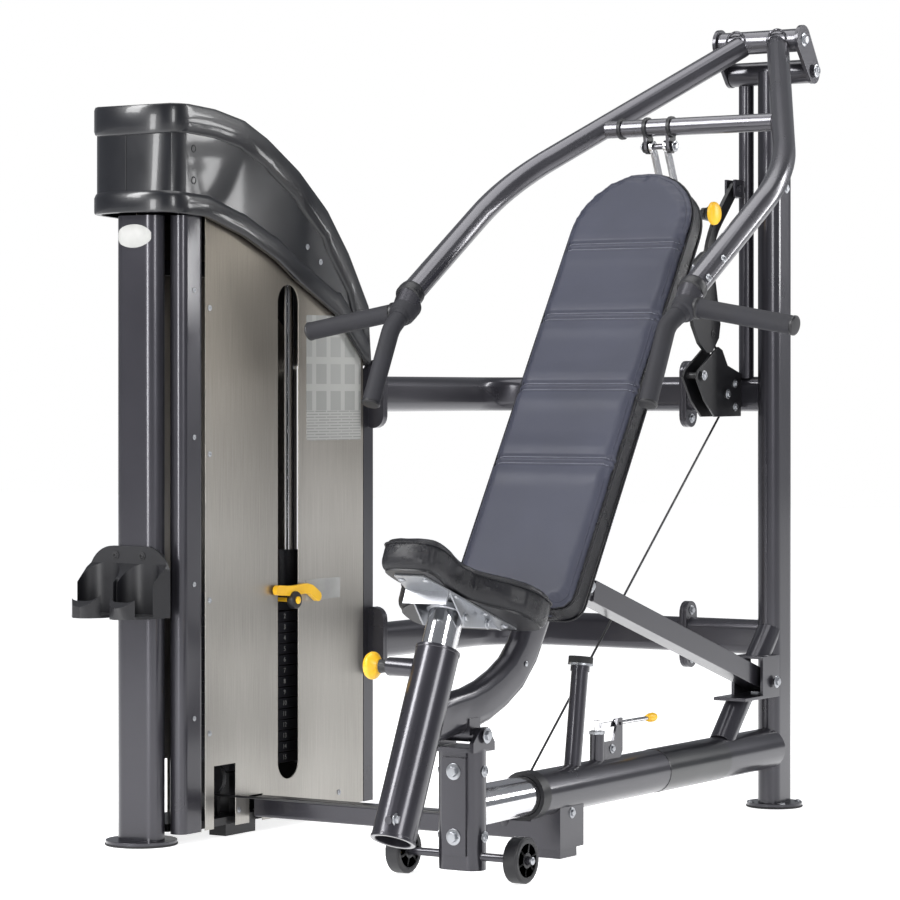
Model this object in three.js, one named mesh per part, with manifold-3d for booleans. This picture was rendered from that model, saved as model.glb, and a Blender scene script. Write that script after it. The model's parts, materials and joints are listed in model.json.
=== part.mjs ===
// Selectorised chest press: a weight tower, a welded frame, a sliding adjustable bench and
// an overhead press arm that pulls the weight stack through a rocker lever and a cable.
// Millimetres, +Z up. The origin is the centre of the rear upright's foot, on the floor.
// The user faces -Y; the weight tower stands on the -X side.

import * as THREE from 'three';
import { mergeVertices } from 'three/addons/utils/BufferGeometryUtils.js';
import Module from 'manifold-3d';

const wasm = await Module();
wasm.setup();

// ---------------------------------------------------------------- driving dimensions
const GAP = 0.3;                       // left between pieces that touch

const POST = { w: 60, h: 110 };        // flat-sided oval frame tube
const CROSS = { w: 50, h: 88 };        // oval cross members
const UPRIGHT_TOP = 1850;
const FOOT_T = 12;

const PIVOT = { y: -16, z: 1848, r: 30, half: 109 };   // press arm pivot housing
const YOKE = { y: -73, z: 1921, r: 29 };               // upper tube that carries the arms
const LINK_X = 110;                                     // inner face of each link plate
const LINK_T = 9;

const ARM_R = 28;
const ARM_START = { x: 46, y: -73, z: 1917 };
const ARM_BEND = { x: 374, y: -690, z: 1542, r: 640 };
const ARM_END = { x: 366, y: -1136, z: 1262 };
const BAR = { y: -450, z: 1686, r: 21.5, half: 250 };   // crossbar between the arms
const GRIP_R = 21;

const ROD_X = -87;                                      // push rod plane
const ROD_TOP = { y: -443, z: 1640 };
const ROCKER_PIN = { y: -55, z: 1558 };
const ROCKER_ROD = { y: -308, z: 1345 };
const ROCKER_X = [-92, -82];

const UPPER_Z = 1040;                                   // heights of the two cross members
const LOWER_Z = 425;
const FLANGE_X = -246;
const TOWER_FLANGE = { x: -798, y: -618 };
const BEND_R = 150;

const BASE = { z: 150, r: 51, bore: 46, front: -1219 };
const COLLAR = { r: 55, y: [-1233, -1200] };
const SLIDE_R = 44.5;                                   // chrome tube of the carriage
const CARRIAGE_Y = -1486;
const BENCH_PIVOT = { y: -1482, z: 309 };
const AXLE = { y: -1490, z: 50, r: 9 };
const WHEEL = { r: 50, x: 148.5, t: 34 };

const SEAT_LOW = { y: -1759, z: 110 };                  // ends of the seat's outer tube
const SEAT_TOP = { y: -1584, z: 496 };
const SEAT_R = 47;
const SEAT_BORE = 38.6;
const SEAT_POST_R = 38;

const STRUT_REAR = { y: -90, z: 323 };
const STRUT_FRONT = { y: -1000, z: 605 };

const BACK = { y: -872, z: 1250, slope: 0.6426, thick: 70, width: 322, low: 575, high: 1566 };

const TOWER_X = -915;
const PANEL_X = [-815, -1015];
const ROD_Y = [-1132, -828];                            // guide rods
const STACK_Y = -980;
const PLATE = { x: 116, y: 352, count: 14, low: 147, pitch: 26.3, gap: 2 };
const HEAD = { z: 516, t: 48 };
const PIN_Z = 545;
const SLOT = { y: -977, w: 86, z: [115, 1303] };

const CABLE_R = 2.8;
const CABLE_SEAT = 1.4;                                   // cable's depth below a pulley's rim
const PULLEY_W = 14;
const HOUSE_PULLEY = { x: -98, y: -112, z: 1040, r: 42 };
const LOW_PULLEY = { x: -107, r: 50, runY: -1208, runZ: 96 };
const TOWER_LOW = { y: -1208, r: 42 };
const TOP_PULLEY = { y: -1094, z: 1480, r: 116, rim: 115 };    // rim: leaves the cable room

// ---------------------------------------------------------------- materials
const paint = (color, roughness = 0.35, metalness = 0.5) =>
  new THREE.MeshStandardMaterial({ color, roughness, metalness });
const FRAME_GREY = paint(0x4b4a50);
const ARM_GREY = paint(0x6a696e, 0.3, 0.6);
const BLACK_STEEL = paint(0x222226, 0.45, 0.3);
const CHROME = paint(0xd8d8da, 0.08, 1);
const ZINC = paint(0xb9bcc0, 0.4, 0.9);
const STEEL_PANEL = paint(0xa7a39c, 0.35, 0.9);
const GLOSS_BLACK = paint(0x1c1e26, 0.2, 0);
const MATT_BLACK = paint(0x24242a, 0.7, 0);
const GRIP_RUBBER = paint(0x3a3a42, 0.85, 0);
const VINYL_BLUE = paint(0x6e727f, 0.5, 0);
const VINYL_BLACK = paint(0x1f1f27, 0.4, 0);
const YELLOW = paint(0xf5be28, 0.5, 0);
const IRON = paint(0x2c2c30, 0.6, 0.4);

// ---------------------------------------------------------------- geometry helpers
const vec = (x, y, z) => new THREE.Vector3(x, y, z);

function toSolid(geometry) {
  const bare = geometry.index ? geometry.toNonIndexed() : geometry.clone();
  bare.deleteAttribute('normal');
  bare.deleteAttribute('uv');
  const merged = mergeVertices(bare, 1e-4);
  const mesh = new wasm.Mesh({
    numProp: 3,
    vertProperties: new Float32Array(merged.attributes.position.array),
    triVerts: new Uint32Array(merged.index.array),
  });
  return new wasm.Manifold(mesh);
}

const TIDY = 0.05;                     // slivers thinner than this are merged away
function fromSolid(solid) {
  const mesh = solid.simplify(TIDY).getMesh();
  const geometry = new THREE.BufferGeometry();
  geometry.setAttribute('position', new THREE.BufferAttribute(mesh.vertProperties, 3));
  geometry.setIndex(new THREE.BufferAttribute(mesh.triVerts, 1));
  geometry.computeVertexNormals();
  return geometry;
}

const join = (...parts) => fromSolid(parts.map(toSolid).reduce((a, b) => a.add(b)));
const cut = (body, ...tools) =>
  fromSolid(tools.map(toSolid).reduce((a, b) => a.subtract(b), toSolid(body)));
const common = (a, b) => fromSolid(toSolid(a).intersect(toSolid(b)));

function extrude(shape, depth, curveSegments = 8) {
  return new THREE.ExtrudeGeometry(shape, { depth, bevelEnabled: false, curveSegments });
}

// a section drawn in (y, z) and pushed along X
function alongX(shape, x0, x1, segments) {
  const basis = new THREE.Matrix4().makeBasis(vec(0, 1, 0), vec(0, 0, 1), vec(1, 0, 0));
  return extrude(shape, x1 - x0, segments).applyMatrix4(basis).translate(x0, 0, 0);
}

// a section drawn in (x, z) and pushed along Y
function alongY(shape, y0, y1, segments) {
  const basis = new THREE.Matrix4().makeBasis(vec(1, 0, 0), vec(0, 0, 1), vec(0, -1, 0));
  return extrude(shape, y1 - y0, segments).applyMatrix4(basis).translate(0, y1, 0);
}

// a section drawn in (x, y) and pushed up
const alongZ = (shape, z0, z1, segments) => extrude(shape, z1 - z0, segments).translate(0, 0, z0);

function block(x0, x1, y0, y1, z0, z1) {
  const box = new THREE.BoxGeometry(x1 - x0, y1 - y0, z1 - z0);
  return box.translate((x0 + x1) / 2, (y0 + y1) / 2, (z0 + z1) / 2);
}

function rod(a, b, radius, sides = 24) {
  const span = b.clone().sub(a);
  const turn = new THREE.Quaternion().setFromUnitVectors(vec(0, 1, 0), span.clone().normalize());
  const cylinder = new THREE.CylinderGeometry(radius, radius, span.length(), sides);
  const middle = a.clone().add(b).multiplyScalar(0.5);
  return cylinder.applyQuaternion(turn).translate(middle.x, middle.y, middle.z);
}

function circle(x, y, r) {
  const shape = new THREE.Shape();
  shape.absarc(x, y, r, 0, Math.PI * 2, false);
  return shape;
}

function hollowRod(a, b, radius, bore, sides = 16) {
  const ring = circle(0, 0, radius);
  ring.holes.push(circle(0, 0, bore));
  const span = b.clone().sub(a);
  const turn = new THREE.Quaternion().setFromUnitVectors(vec(0, 0, 1), span.clone().normalize());
  return extrude(ring, span.length(), sides).applyQuaternion(turn).translate(a.x, a.y, a.z);
}

// an oval with straight sides, centred on (x, y); the round ends are on its longer axis
function oval(x, y, width, height) {
  const shape = new THREE.Shape();
  const r = Math.min(width, height) / 2;
  const dx = width / 2 - r;
  const dy = height / 2 - r;
  if (height >= width) {
    shape.absarc(x, y + dy, r, 0, Math.PI, false);
    shape.absarc(x, y - dy, r, Math.PI, Math.PI * 2, false);
  } else {
    shape.absarc(x + dx, y, r, -Math.PI / 2, Math.PI / 2, false);
    shape.absarc(x - dx, y, r, Math.PI / 2, Math.PI * 1.5, false);
  }
  shape.closePath();
  return shape;
}

function roundedRect(x0, x1, y0, y1, r) {
  const shape = new THREE.Shape();
  shape.absarc(x1 - r, y1 - r, r, 0, Math.PI / 2, false);
  shape.absarc(x0 + r, y1 - r, r, Math.PI / 2, Math.PI, false);
  shape.absarc(x0 + r, y0 + r, r, Math.PI, Math.PI * 1.5, false);
  shape.absarc(x1 - r, y0 + r, r, Math.PI * 1.5, Math.PI * 2, false);
  shape.closePath();
  return shape;
}

const polygon = (points) => new THREE.Shape(points.map(([x, y]) => new THREE.Vector2(x, y)));

// a flat bar of constant width with round ends, running through the points
function ribbon(points, halfWidth, samples = 20) {
  const curve = new THREE.CatmullRomCurve3(points.map(([y, z]) => vec(y, z, 0)));
  const left = [];
  const right = [];
  for (let i = 0; i <= samples; i += 1) {
    const at = curve.getPointAt(i / samples);
    const along = curve.getTangentAt(i / samples);
    left.push(new THREE.Vector2(at.x - along.y * halfWidth, at.y + along.x * halfWidth));
    right.push(new THREE.Vector2(at.x + along.y * halfWidth, at.y - along.x * halfWidth));
  }
  const cap = (at, from, to) => arcPoints(at.x, at.y, halfWidth, from, to, 6);
  const start = curve.getTangentAt(0);
  const end = curve.getTangentAt(1);
  const a0 = Math.atan2(start.x, -start.y);
  const a1 = Math.atan2(-end.x, end.y);
  const first = curve.getPointAt(0);
  const last = curve.getPointAt(1);
  const outline = [...right, ...cap(last, a1, a1 + Math.PI), ...left.reverse(),
    ...cap(first, a0, a0 + Math.PI)];
  return new THREE.Shape(outline);
}

function arcPoints(x, y, r, from, to, steps) {
  const points = [];
  for (let i = 1; i < steps; i += 1) {
    const angle = from + (to - from) * i / steps;
    points.push(new THREE.Vector2(x + r * Math.cos(angle), y + r * Math.sin(angle)));
  }
  return points;
}

// an extrusion that follows a curve
function sweep(shape, curve, steps, curveSegments = 6) {
  return new THREE.ExtrudeGeometry(shape, { steps, extrudePath: curve, curveSegments });
}

// straight runs joined by round bends; its sample points fall only where the path bends
class BentPath extends THREE.Curve {
  constructor(points, radius, bendSteps) {
    super();
    this.pieces = [];
    let from = points[0];
    for (let i = 1; i < points.length - 1; i += 1) {
      const before = points[i].clone().sub(points[i - 1]).normalize();
      const after = points[i + 1].clone().sub(points[i]).normalize();
      const half = before.angleTo(after) / 2;
      const bend = Array.isArray(radius) ? radius[i - 1] : radius;
      const reach = bend * Math.tan(half);
      const enter = points[i].clone().addScaledVector(before, -reach);
      const leave = points[i].clone().addScaledVector(after, reach);
      this.pieces.push({ curve: new THREE.LineCurve3(from, enter), steps: 1 });
      this.pieces.push({ curve: new BendCurve(enter, leave, before, half, bend), steps: bendSteps });
      from = leave;
    }
    this.pieces.push({ curve: new THREE.LineCurve3(from, points[points.length - 1]), steps: 1 });
    this.steps = this.pieces.reduce((sum, piece) => sum + piece.steps, 0);
  }

  locate(t) {
    let at = t * this.steps;
    const last = this.pieces[this.pieces.length - 1];
    for (const piece of this.pieces) {
      if (at <= piece.steps || piece === last) return [piece.curve, Math.min(at / piece.steps, 1)];
      at -= piece.steps;
    }
    return null;
  }

  getPoint(t) {
    const [curve, u] = this.locate(t);
    return curve.getPoint(u);
  }

  getPointAt(u) {
    return this.getPoint(u);
  }

  getTangentAt(u) {
    const [curve, v] = this.locate(u);
    return curve.getTangent(v);
  }
}

// one round bend: starts along "before" and turns through twice the half angle
class BendCurve extends THREE.Curve {
  constructor(enter, leave, before, half, radius) {
    super();
    const chord = leave.clone().sub(enter).normalize();
    const inward = chord.clone().addScaledVector(before, -chord.dot(before)).normalize();
    Object.assign(this, { enter, before, inward, half, radius });
  }

  getPoint(t, target = new THREE.Vector3()) {
    const angle = 2 * this.half * t;
    return target.copy(this.enter)
      .addScaledVector(this.before, this.radius * Math.sin(angle))
      .addScaledVector(this.inward, this.radius * (1 - Math.cos(angle)));
  }

  getTangent(t) {
    const angle = 2 * this.half * t;
    return this.before.clone().multiplyScalar(Math.cos(angle))
      .addScaledVector(this.inward, Math.sin(angle));
  }
}

function addTo(group, name, geometry, material) {
  const mesh = new THREE.Mesh(geometry, material);
  mesh.name = name;
  group.add(mesh);
  return mesh;
}

function addAt(group, name, geometry, material, x, y, z) {
  const mesh = addTo(group, name, geometry, material);
  mesh.position.set(x, y, z);
  return mesh;
}

// ---------------------------------------------------------------- rear frame
function pivotHousing(extra) {
  return rod(vec(-PIVOT.half, PIVOT.y, PIVOT.z), vec(PIVOT.half, PIVOT.y, PIVOT.z), PIVOT.r + extra, 24);
}

const upright = (extra) =>
  alongZ(oval(0, 0, POST.w + 2 * extra, POST.h + 2 * extra), FOOT_T / 2, UPRIGHT_TOP, 6);

function rearUpright() {
  const foot = rod(vec(0, 0, 0), vec(0, 0, FOOT_T), 70, 32);
  return join(upright(0), foot, pivotHousing(0));
}

function flange(x0, x1, z) {
  return alongX(oval(0, z, 60, 170), x0, x1, 5);
}

function stub(z) {
  const tube = alongX(oval(0, z, CROSS.w, CROSS.h), FLANGE_X + 5, -POST.w / 2 - GAP, 6);
  return join(tube, flange(FLANGE_X, FLANGE_X + 10, z));
}

// the round post on the upper stub, and the fork that holds the rocker's pin
function rockerPost() {
  const x = -75;
  const y = -8;
  const post = rod(vec(x, y, UPPER_Z + 40), vec(x, y, PIVOT.z), 19, 18);
  const tip = ROCKER_PIN.y - 20;
  const root = block(-102, -72, -36, y, 1536, 1580);
  const cheek = (x0) => block(x0, x0 + 6, tip, -34, 1536, 1580);
  const pin = rod(vec(-106, ROCKER_PIN.y, ROCKER_PIN.z), vec(-64, ROCKER_PIN.y, ROCKER_PIN.z), 8, 14);
  const whole = join(post, root, cheek(-102), cheek(-78), pin);
  return cut(whole, pivotHousing(GAP));
}

function upperStub() {
  return join(stub(UPPER_Z), rockerPost());
}

// oval tube in an L: from the tower towards +Y, round a bend, then along X to the stub
function crossTube(z) {
  const corner = vec(TOWER_FLANGE.x, 0, z);
  const start = vec(TOWER_FLANGE.x, TOWER_FLANGE.y + 5, z);
  const path = new BentPath([start, corner, vec(FLANGE_X - 6, 0, z)], BEND_R, 6);
  const tube = sweep(oval(0, 0, CROSS.h, CROSS.w), path, path.steps, 4);
  const near = flange(FLANGE_X - 10 - GAP, FLANGE_X - GAP, z);
  const far = alongY(oval(TOWER_FLANGE.x, z, 60, 170), TOWER_FLANGE.y, TOWER_FLANGE.y + 10, 5);
  return join(tube, near, far);
}

// two side plates with spacers, welded in front of the upper stub
const HOUSE_PLATE = [[-254, 1099], [-150, 1158], [-128, 1150], [-100, 1112], [-27, 1092],
  [-27, 984], [-168, 983], [-221, 1023], [-265, 1080]];
const HOUSE_X = [-124, -118, -86, -80];
const PULLEY_BORE = 8.6;

function pulleyHousing() {
  const plate = (x0, x1) => alongX(polygon(HOUSE_PLATE), x0, x1);
  const spacer = (y, z, r) => rod(vec(HOUSE_X[0] + 2, y, z), vec(HOUSE_X[3] - 2, y, z), r, 16);
  const back = block(HOUSE_X[0], HOUSE_X[3], -42, -27, 990, 1085);
  const head = (y, z) => rod(vec(HOUSE_X[3], y, z), vec(HOUSE_X[3] + 7, y, z), 9, 12);
  return join(plate(HOUSE_X[0], HOUSE_X[1]), plate(HOUSE_X[2], HOUSE_X[3]), back,
    spacer(-238, 1086, 8), spacer(HOUSE_PULLEY.y, HOUSE_PULLEY.z, 8),
    head(-238, 1086), head(HOUSE_PULLEY.y, HOUSE_PULLEY.z));
}

// a pulley with a V groove, turned about the Y axis
function grooved(r, segments = 24) {
  const lip = PULLEY_W / 2;
  const profile = [[PULLEY_BORE, -lip], [r, -lip], [r, -lip + 2], [r - 8, 0], [r, lip - 2], [r, lip],
    [PULLEY_BORE, lip], [PULLEY_BORE, -lip]];
  return new THREE.LatheGeometry(profile.map(([x, y]) => new THREE.Vector2(x, y)), segments);
}

// ---------------------------------------------------------------- base
function baseTube() {
  const shell = hollowRod(vec(0, -40, BASE.z), vec(0, BASE.front, BASE.z), BASE.r, BASE.bore, 12);
  const boss = rod(vec(0, LOCK.y, BASE.z + BASE.r - 6), vec(0, LOCK.y, LOCK.bossTop), 17, 18);
  const plate = alongX(polygon([[LOCK.y + 12, 196], [LOCK.y + 85, 196], [LOCK.y + 98, 214],
    [LOCK.y + 98, 290], [LOCK.y + 76, 290], [LOCK.y + 55, 240], [LOCK.y + 12, 240]]), 7, 13);
  const pin = rod(vec(-4, LOCK.pinY, LOCK.pinZ), vec(16, LOCK.pinY, LOCK.pinZ), 4, 12);
  const bore = rod(vec(0, LOCK.y, 150), vec(0, LOCK.y, LOCK.bossTop + 5), 7, 16);
  const inside = rod(vec(0, -30, BASE.z), vec(0, BASE.front - 5, BASE.z), BASE.bore, 32);
  const body = cut(join(shell, boss, plate, pin), bore, inside);
  return cut(body, upright(GAP));
}

const LOCK = { y: -903, bossTop: 260, pinY: -815, pinZ: 277 };

function lockPlunger() {
  const stem = rod(vec(0, LOCK.y, 197), vec(0, LOCK.y, 284), 6.4, 14);
  const cap = block(-9, 5.5, LOCK.y - 9, LOCK.y + 9, 276, 290);
  return join(stem, cap);
}

// rod with a ball at one end and two flat links that reach to the plunger
function lockLever() {
  const y = LOCK.pinY;
  const hub = rod(vec(-3.4, y, LOCK.pinZ), vec(6.6, y, LOCK.pinZ), 11, 14);
  const bar = rod(vec(1.5, y, LOCK.pinZ), vec(1.5, y + 168, LOCK.pinZ), 5, 12);
  const ball = new THREE.SphereGeometry(10, 16, 10).translate(1.5, y + 172, LOCK.pinZ);
  const link = block(-3, 5, y - 76, y, LOCK.pinZ - 6, LOCK.pinZ + 6);
  const bore = rod(vec(-10, y, LOCK.pinZ), vec(20, y, LOCK.pinZ), 4.4, 16);
  return cut(join(hub, bar, ball, link), bore);
}

// two short tubes with a box between them; the strut's rear end turns inside the box
const BOX = { half: 44, wall: 8, y: [-150, -58], z: [284, 388] };
function diagonalBrace() {
  const [y0, y1] = BOX.y;
  const [z0, z1] = BOX.z;
  const tube = rod(vec(0, -290, 185), vec(0, -20, 455), 30, 20);
  const inside = block(-BOX.half, BOX.half, -400, 100, z0 + 1, z1 - 1);
  const cheek = (x0) => block(x0, x0 + BOX.wall, y0, y1, z0, z1);
  const floor = block(-BOX.half, BOX.half, -245, y1, z0, z0 + BOX.wall);
  const roof = block(-BOX.half, BOX.half, y0, y1, z1 - 6, z1);
  const pin = rod(vec(-52, STRUT_REAR.y, STRUT_REAR.z), vec(52, STRUT_REAR.y, STRUT_REAR.z), 8, 14);
  const whole = join(cut(tube, inside), floor, roof, cheek(-BOX.half), cheek(BOX.half - BOX.wall), pin);
  const base = rod(vec(0, 0, BASE.z), vec(0, -400, BASE.z), BASE.r + GAP, 32);
  return cut(whole, upright(GAP), base);
}

function strut() {
  const span = vec(0, STRUT_FRONT.y - STRUT_REAR.y, STRUT_FRONT.z - STRUT_REAR.z);
  const length = span.length();
  const tilt = Math.atan2(span.z, -span.y);
  const bar = block(-25, 25, -length + 20, -8, -25, 25);
  const barrel = (y, half, r) => rod(vec(-half, y, 0), vec(half, y, 0), r, 18);
  const body = join(bar, barrel(0, 30, 28), barrel(-length, 20, 36));
  const sides = block(-40, 40, -length - 40, -length + 46, -60, 60);
  const tongue = block(-20, 20, -length - 45, -length + 50, -60, 60);
  const narrowed = cut(body, cut(sides, tongue));
  return cut(narrowed, barrel(0, 40, 8.6), barrel(-length, 40, STRUT_EYE))
    .rotateX(-tilt).translate(0, STRUT_REAR.y, STRUT_REAR.z);
}

const STRUT_EYE = 24;    // the eye is larger than its pin, so the linkage has room at each angle

const BUMPER = { foot: -1018, y: -979, z: 424 };
function bumperPost() {
  const foot = vec(0, BUMPER.foot, 180);
  const top = vec(0, BUMPER.y, BUMPER.z);
  const lean = top.clone().sub(foot).normalize();
  const collar = top.clone().addScaledVector(lean, -16);
  const base = rod(vec(0, -900, BASE.z), vec(0, -1150, BASE.z), BASE.r + GAP, 32);
  return cut(join(rod(foot, top, 19.5), rod(collar, top, 22)), base);
}

function bumperCap() {
  const lean = vec(0, BUMPER.y - BUMPER.foot, BUMPER.z - 180).normalize();
  const low = vec(0, BUMPER.y, BUMPER.z).addScaledVector(lean, GAP);
  return rod(low, low.clone().addScaledVector(lean, 18), 28.5, 20);
}

// the lower pulley turns the slanted run into the run along the floor, so its axis leans
function lowPulleyPlace() {
  const { x, r, runY, runZ } = LOW_PULLEY;
  const seat = r - CABLE_SEAT;
  const corner = vec(x + seat, runY, runZ);
  const fromHouse = corner.clone().sub(vec(HOUSE_PULLEY.x, HOUSE_PULLEY.y, HOUSE_PULLEY.z - 62));
  const incoming = fromHouse.normalize();
  const outgoing = vec(-1, 0, 0);
  const axis = vec(0, -incoming.z, incoming.y).normalize();
  const centre = corner.clone().addScaledVector(incoming, -seat).addScaledVector(outgoing, seat);
  return { corner, incoming, axis, centre };
}

// leg under the base tube, the floor tube to the tower and the lower pulley's bracket
function lowCrossTube() {
  const leg = alongX(polygon([[-1135, 22], [-1030, 22], [-1030, 140], [-1135, 140]]), -38, 38);
  const pad = block(-30, 30, -1122, -1048, 0, 24);
  const tube = alongX(roundedRect(-1135, -1085, 40, 88, 8), -800, 0, 3);
  const base = rod(vec(0, -1000, BASE.z), vec(0, -1220, BASE.z), BASE.r + GAP, 32);
  const { centre, axis } = lowPulleyPlace();
  const along = (distance) => centre.clone().addScaledVector(axis, distance);
  const pin = rod(along(-PULLEY_W / 2 - 5), along(PULLEY_W / 2 + 5), 8, 14);
  const stem = rod(along(PULLEY_W / 2 + 1), along(68), 12, 14);
  return cut(join(leg, pad, tube, pin, stem), base);
}

const COLLAR_BORE = 45.2;
function baseCollar() {
  const [y0, y1] = COLLAR.y;
  const ring = hollowRod(vec(0, y0, BASE.z), vec(0, y1, BASE.z), COLLAR.r, COLLAR_BORE, 13);
  const tube = rod(vec(0, BASE.front - GAP, BASE.z), vec(0, -1100, BASE.z), BASE.r + GAP, 32);
  return cut(ring, tube);
}

// ---------------------------------------------------------------- carriage
const carriageColumn = (extra) =>
  alongZ(oval(0, CARRIAGE_Y, POST.h + 2 * extra, POST.w + 2 * extra), 20 - extra, 280, 6);

function carriagePost() {
  const saddle = block(-54, 54, -1528, -1440, 274, 284);
  const cheekShape = polygon([[-1528, 280], [-1440, 280], [-1440, 292], [-1468, 326], [-1496, 326],
    [-1528, 296]]);
  const cheek = (x0, x1) => alongX(cheekShape, x0, x1);
  const { y, z } = BENCH_PIVOT;
  const pin = rod(vec(-60, y, z), vec(60, y, z), 9, 14);
  const plate = block(-30, 30, -1522, -1512, 52, 262);
  const bolt = (height) => rod(vec(0, -1530, height), vec(0, -1515, height), 10, 6);
  const axle = rod(vec(-WHEEL.x - 26, AXLE.y, AXLE.z), vec(WHEEL.x + 26, AXLE.y, AXLE.z), AXLE.r, 14);
  return join(carriageColumn(0), saddle, cheek(-54, -44), cheek(44, 54), pin, plate,
    bolt(92), bolt(232), axle);
}

function carriageTube() {
  const tube = hollowRod(vec(0, CARRIAGE_Y, BASE.z), vec(0, -880, BASE.z), SLIDE_R, SLIDE_R - 4, 12);
  const inside = rod(vec(0, CARRIAGE_Y - 60, BASE.z), vec(0, -870, BASE.z), SLIDE_R - 4, 32);
  const post = cut(tube, carriageColumn(GAP), block(-60, 60, -1600, -1480, 0, 400));
  return cut(post, inside);
}

function wheel() {
  const { r, t } = WHEEL;
  const profile = [[AXLE.r + 0.5, -t / 2], [17, -t / 2], [17, -t / 2 + 6], [36, -t / 2 + 6],
    [36, -t / 2], [r - 3, -t / 2], [r, -t / 2 + 3], [r, t / 2 - 3], [r - 3, t / 2], [36, t / 2],
    [36, t / 2 - 6], [17, t / 2 - 6], [17, t / 2], [AXLE.r + 0.5, t / 2], [AXLE.r + 0.5, -t / 2]];
  const lathe = new THREE.LatheGeometry(profile.map(([x, y]) => new THREE.Vector2(x, y)), 22);
  return lathe.rotateZ(-Math.PI / 2);
}

// ---------------------------------------------------------------- bench
const seatAxis = vec(0, SEAT_TOP.y - SEAT_LOW.y, SEAT_TOP.z - SEAT_LOW.z).normalize();
const onSeatAxis = (distance) =>
  vec(0, SEAT_TOP.y, SEAT_TOP.z).addScaledVector(seatAxis, distance);
const PIN_AT = onSeatAxis(-42);

function seatOuterTube() {
  const low = vec(0, SEAT_LOW.y, SEAT_LOW.z);
  const high = vec(0, SEAT_TOP.y, SEAT_TOP.z);
  const tube = rod(low, high, SEAT_R, 28);
  const boss = rod(vec(-112, PIN_AT.y, PIN_AT.z), vec(-30, PIN_AT.y, PIN_AT.z), 20, 14);
  const bolt = onSeatAxis(-371);
  const head = rod(vec(12, bolt.y - 58, bolt.z), vec(12, bolt.y - 30, bolt.z), 9, 16);
  const inside = rod(onSeatAxis(-440), onSeatAxis(10), SEAT_BORE, 32);
  const bore = rod(vec(-130, PIN_AT.y, PIN_AT.z), vec(-20, PIN_AT.y, PIN_AT.z), 7, 16);
  return cut(join(tube, boss, head), inside, bore);
}

function seatPullPin() {
  const { y, z } = PIN_AT;
  const stem = rod(vec(-140, y, z), vec(-39.5, y, z), 6, 16);
  const profile = [[0, 0], [10, 0], [14, 8], [28, 20], [29, 26], [26, 32], [0, 34]];
  const knob = new THREE.LatheGeometry(profile.map(([r, h]) => new THREE.Vector2(r, h)), 24);
  knob.rotateZ(Math.PI / 2).translate(-130, y, z);
  return join(stem, knob);
}

// one bent oval tube: from the seat tube, over the pivot and up behind the backrest
function backrestTube() {
  const path = new THREE.CatmullRomCurve3([vec(0, -1668, 340), vec(0, -1560, 354),
    vec(0, -1450, 366), vec(0, -1350, 396), vec(0, -1262, 446), vec(0, -1200, 528),
    vec(0, -1141, 616), vec(0, -1085, 700), vec(0, -986, 854)]);
  const tube = sweep(oval(0, 0, 50, 96), path, 14, 3);
  const { y, z } = BENCH_PIVOT;
  const hub = rod(vec(-40, y, z), vec(40, y, z), 16, 18);
  const web = block(-28, 28, y - 20, y + 24, z, 345);
  const lug = (x0) => alongX(polygon([[STRUT_FRONT.y - 26, STRUT_FRONT.z - 24],
    [STRUT_FRONT.y + 22, STRUT_FRONT.z - 22], [STRUT_FRONT.y + 22, STRUT_FRONT.z + 20],
    [-1030, 770], [-1100, 660]]), x0, x0 + 10);
  const pin = rod(vec(-40, STRUT_FRONT.y, STRUT_FRONT.z), vec(40, STRUT_FRONT.y, STRUT_FRONT.z), 8, 14);
  const body = join(tube, web, hub, lug(-32), lug(22), pin);
  const bore = rod(vec(-60, y, z), vec(60, y, z), 9.5, 18);
  const seatTube = rod(onSeatAxis(-460), onSeatAxis(40), SEAT_R + GAP, 28);
  const beyond = block(-80, 80, -1900, -1668, 200, 500);
  return cut(body, bore, seatTube, beyond, padBlock(GAP));
}

// the backrest's plane: its own axes are across, up the face and out of the face
function padFrame() {
  const up = vec(0, BACK.slope, 1).normalize();
  const out = vec(0, -up.z, up.y);
  const basis = new THREE.Matrix4().makeBasis(vec(1, 0, 0), up, out);
  const face = vec(0, BACK.y, BACK.z);
  return { up, out, basis, face };
}

function padOutline(extra) {
  const slant = Math.hypot(1, BACK.slope);
  const low = (BACK.low - BACK.z) * slant - extra;
  const high = (BACK.high - BACK.z) * slant + extra;
  const half = BACK.width / 2 + extra;
  const shape = new THREE.Shape();
  shape.absarc(0, high - half, half, 0, Math.PI, false);
  shape.absarc(-half + 42, low + 40, 40, Math.PI, Math.PI * 1.5, false);
  shape.absarc(half - 42, low + 40, 40, Math.PI * 1.5, Math.PI * 2, false);
  shape.closePath();
  return shape;
}

function padBlock(extra) {
  const { basis, face } = padFrame();
  const slab = extrude(padOutline(extra), BACK.thick + 2 * extra, 12);
  return slab.translate(0, 0, -BACK.thick - extra).applyMatrix4(basis)
    .translate(face.x, face.y, face.z);
}

const backrestPad = () => padBlock(0);

// ---------------------------------------------------------------- seat
function seatPlane() {
  const along = vec(0, seatAxis.z, -seatAxis.y);
  const basis = new THREE.Matrix4().makeBasis(vec(1, 0, 0), along, seatAxis);
  return { along, basis };
}

const PAD_T = 78;
const PAD_FLOOR = 104;     // distance along the seat axis from the tube's top to the pad's underside
const PAD_EDGE = 20;       // rounding of the pad's edges

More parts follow.
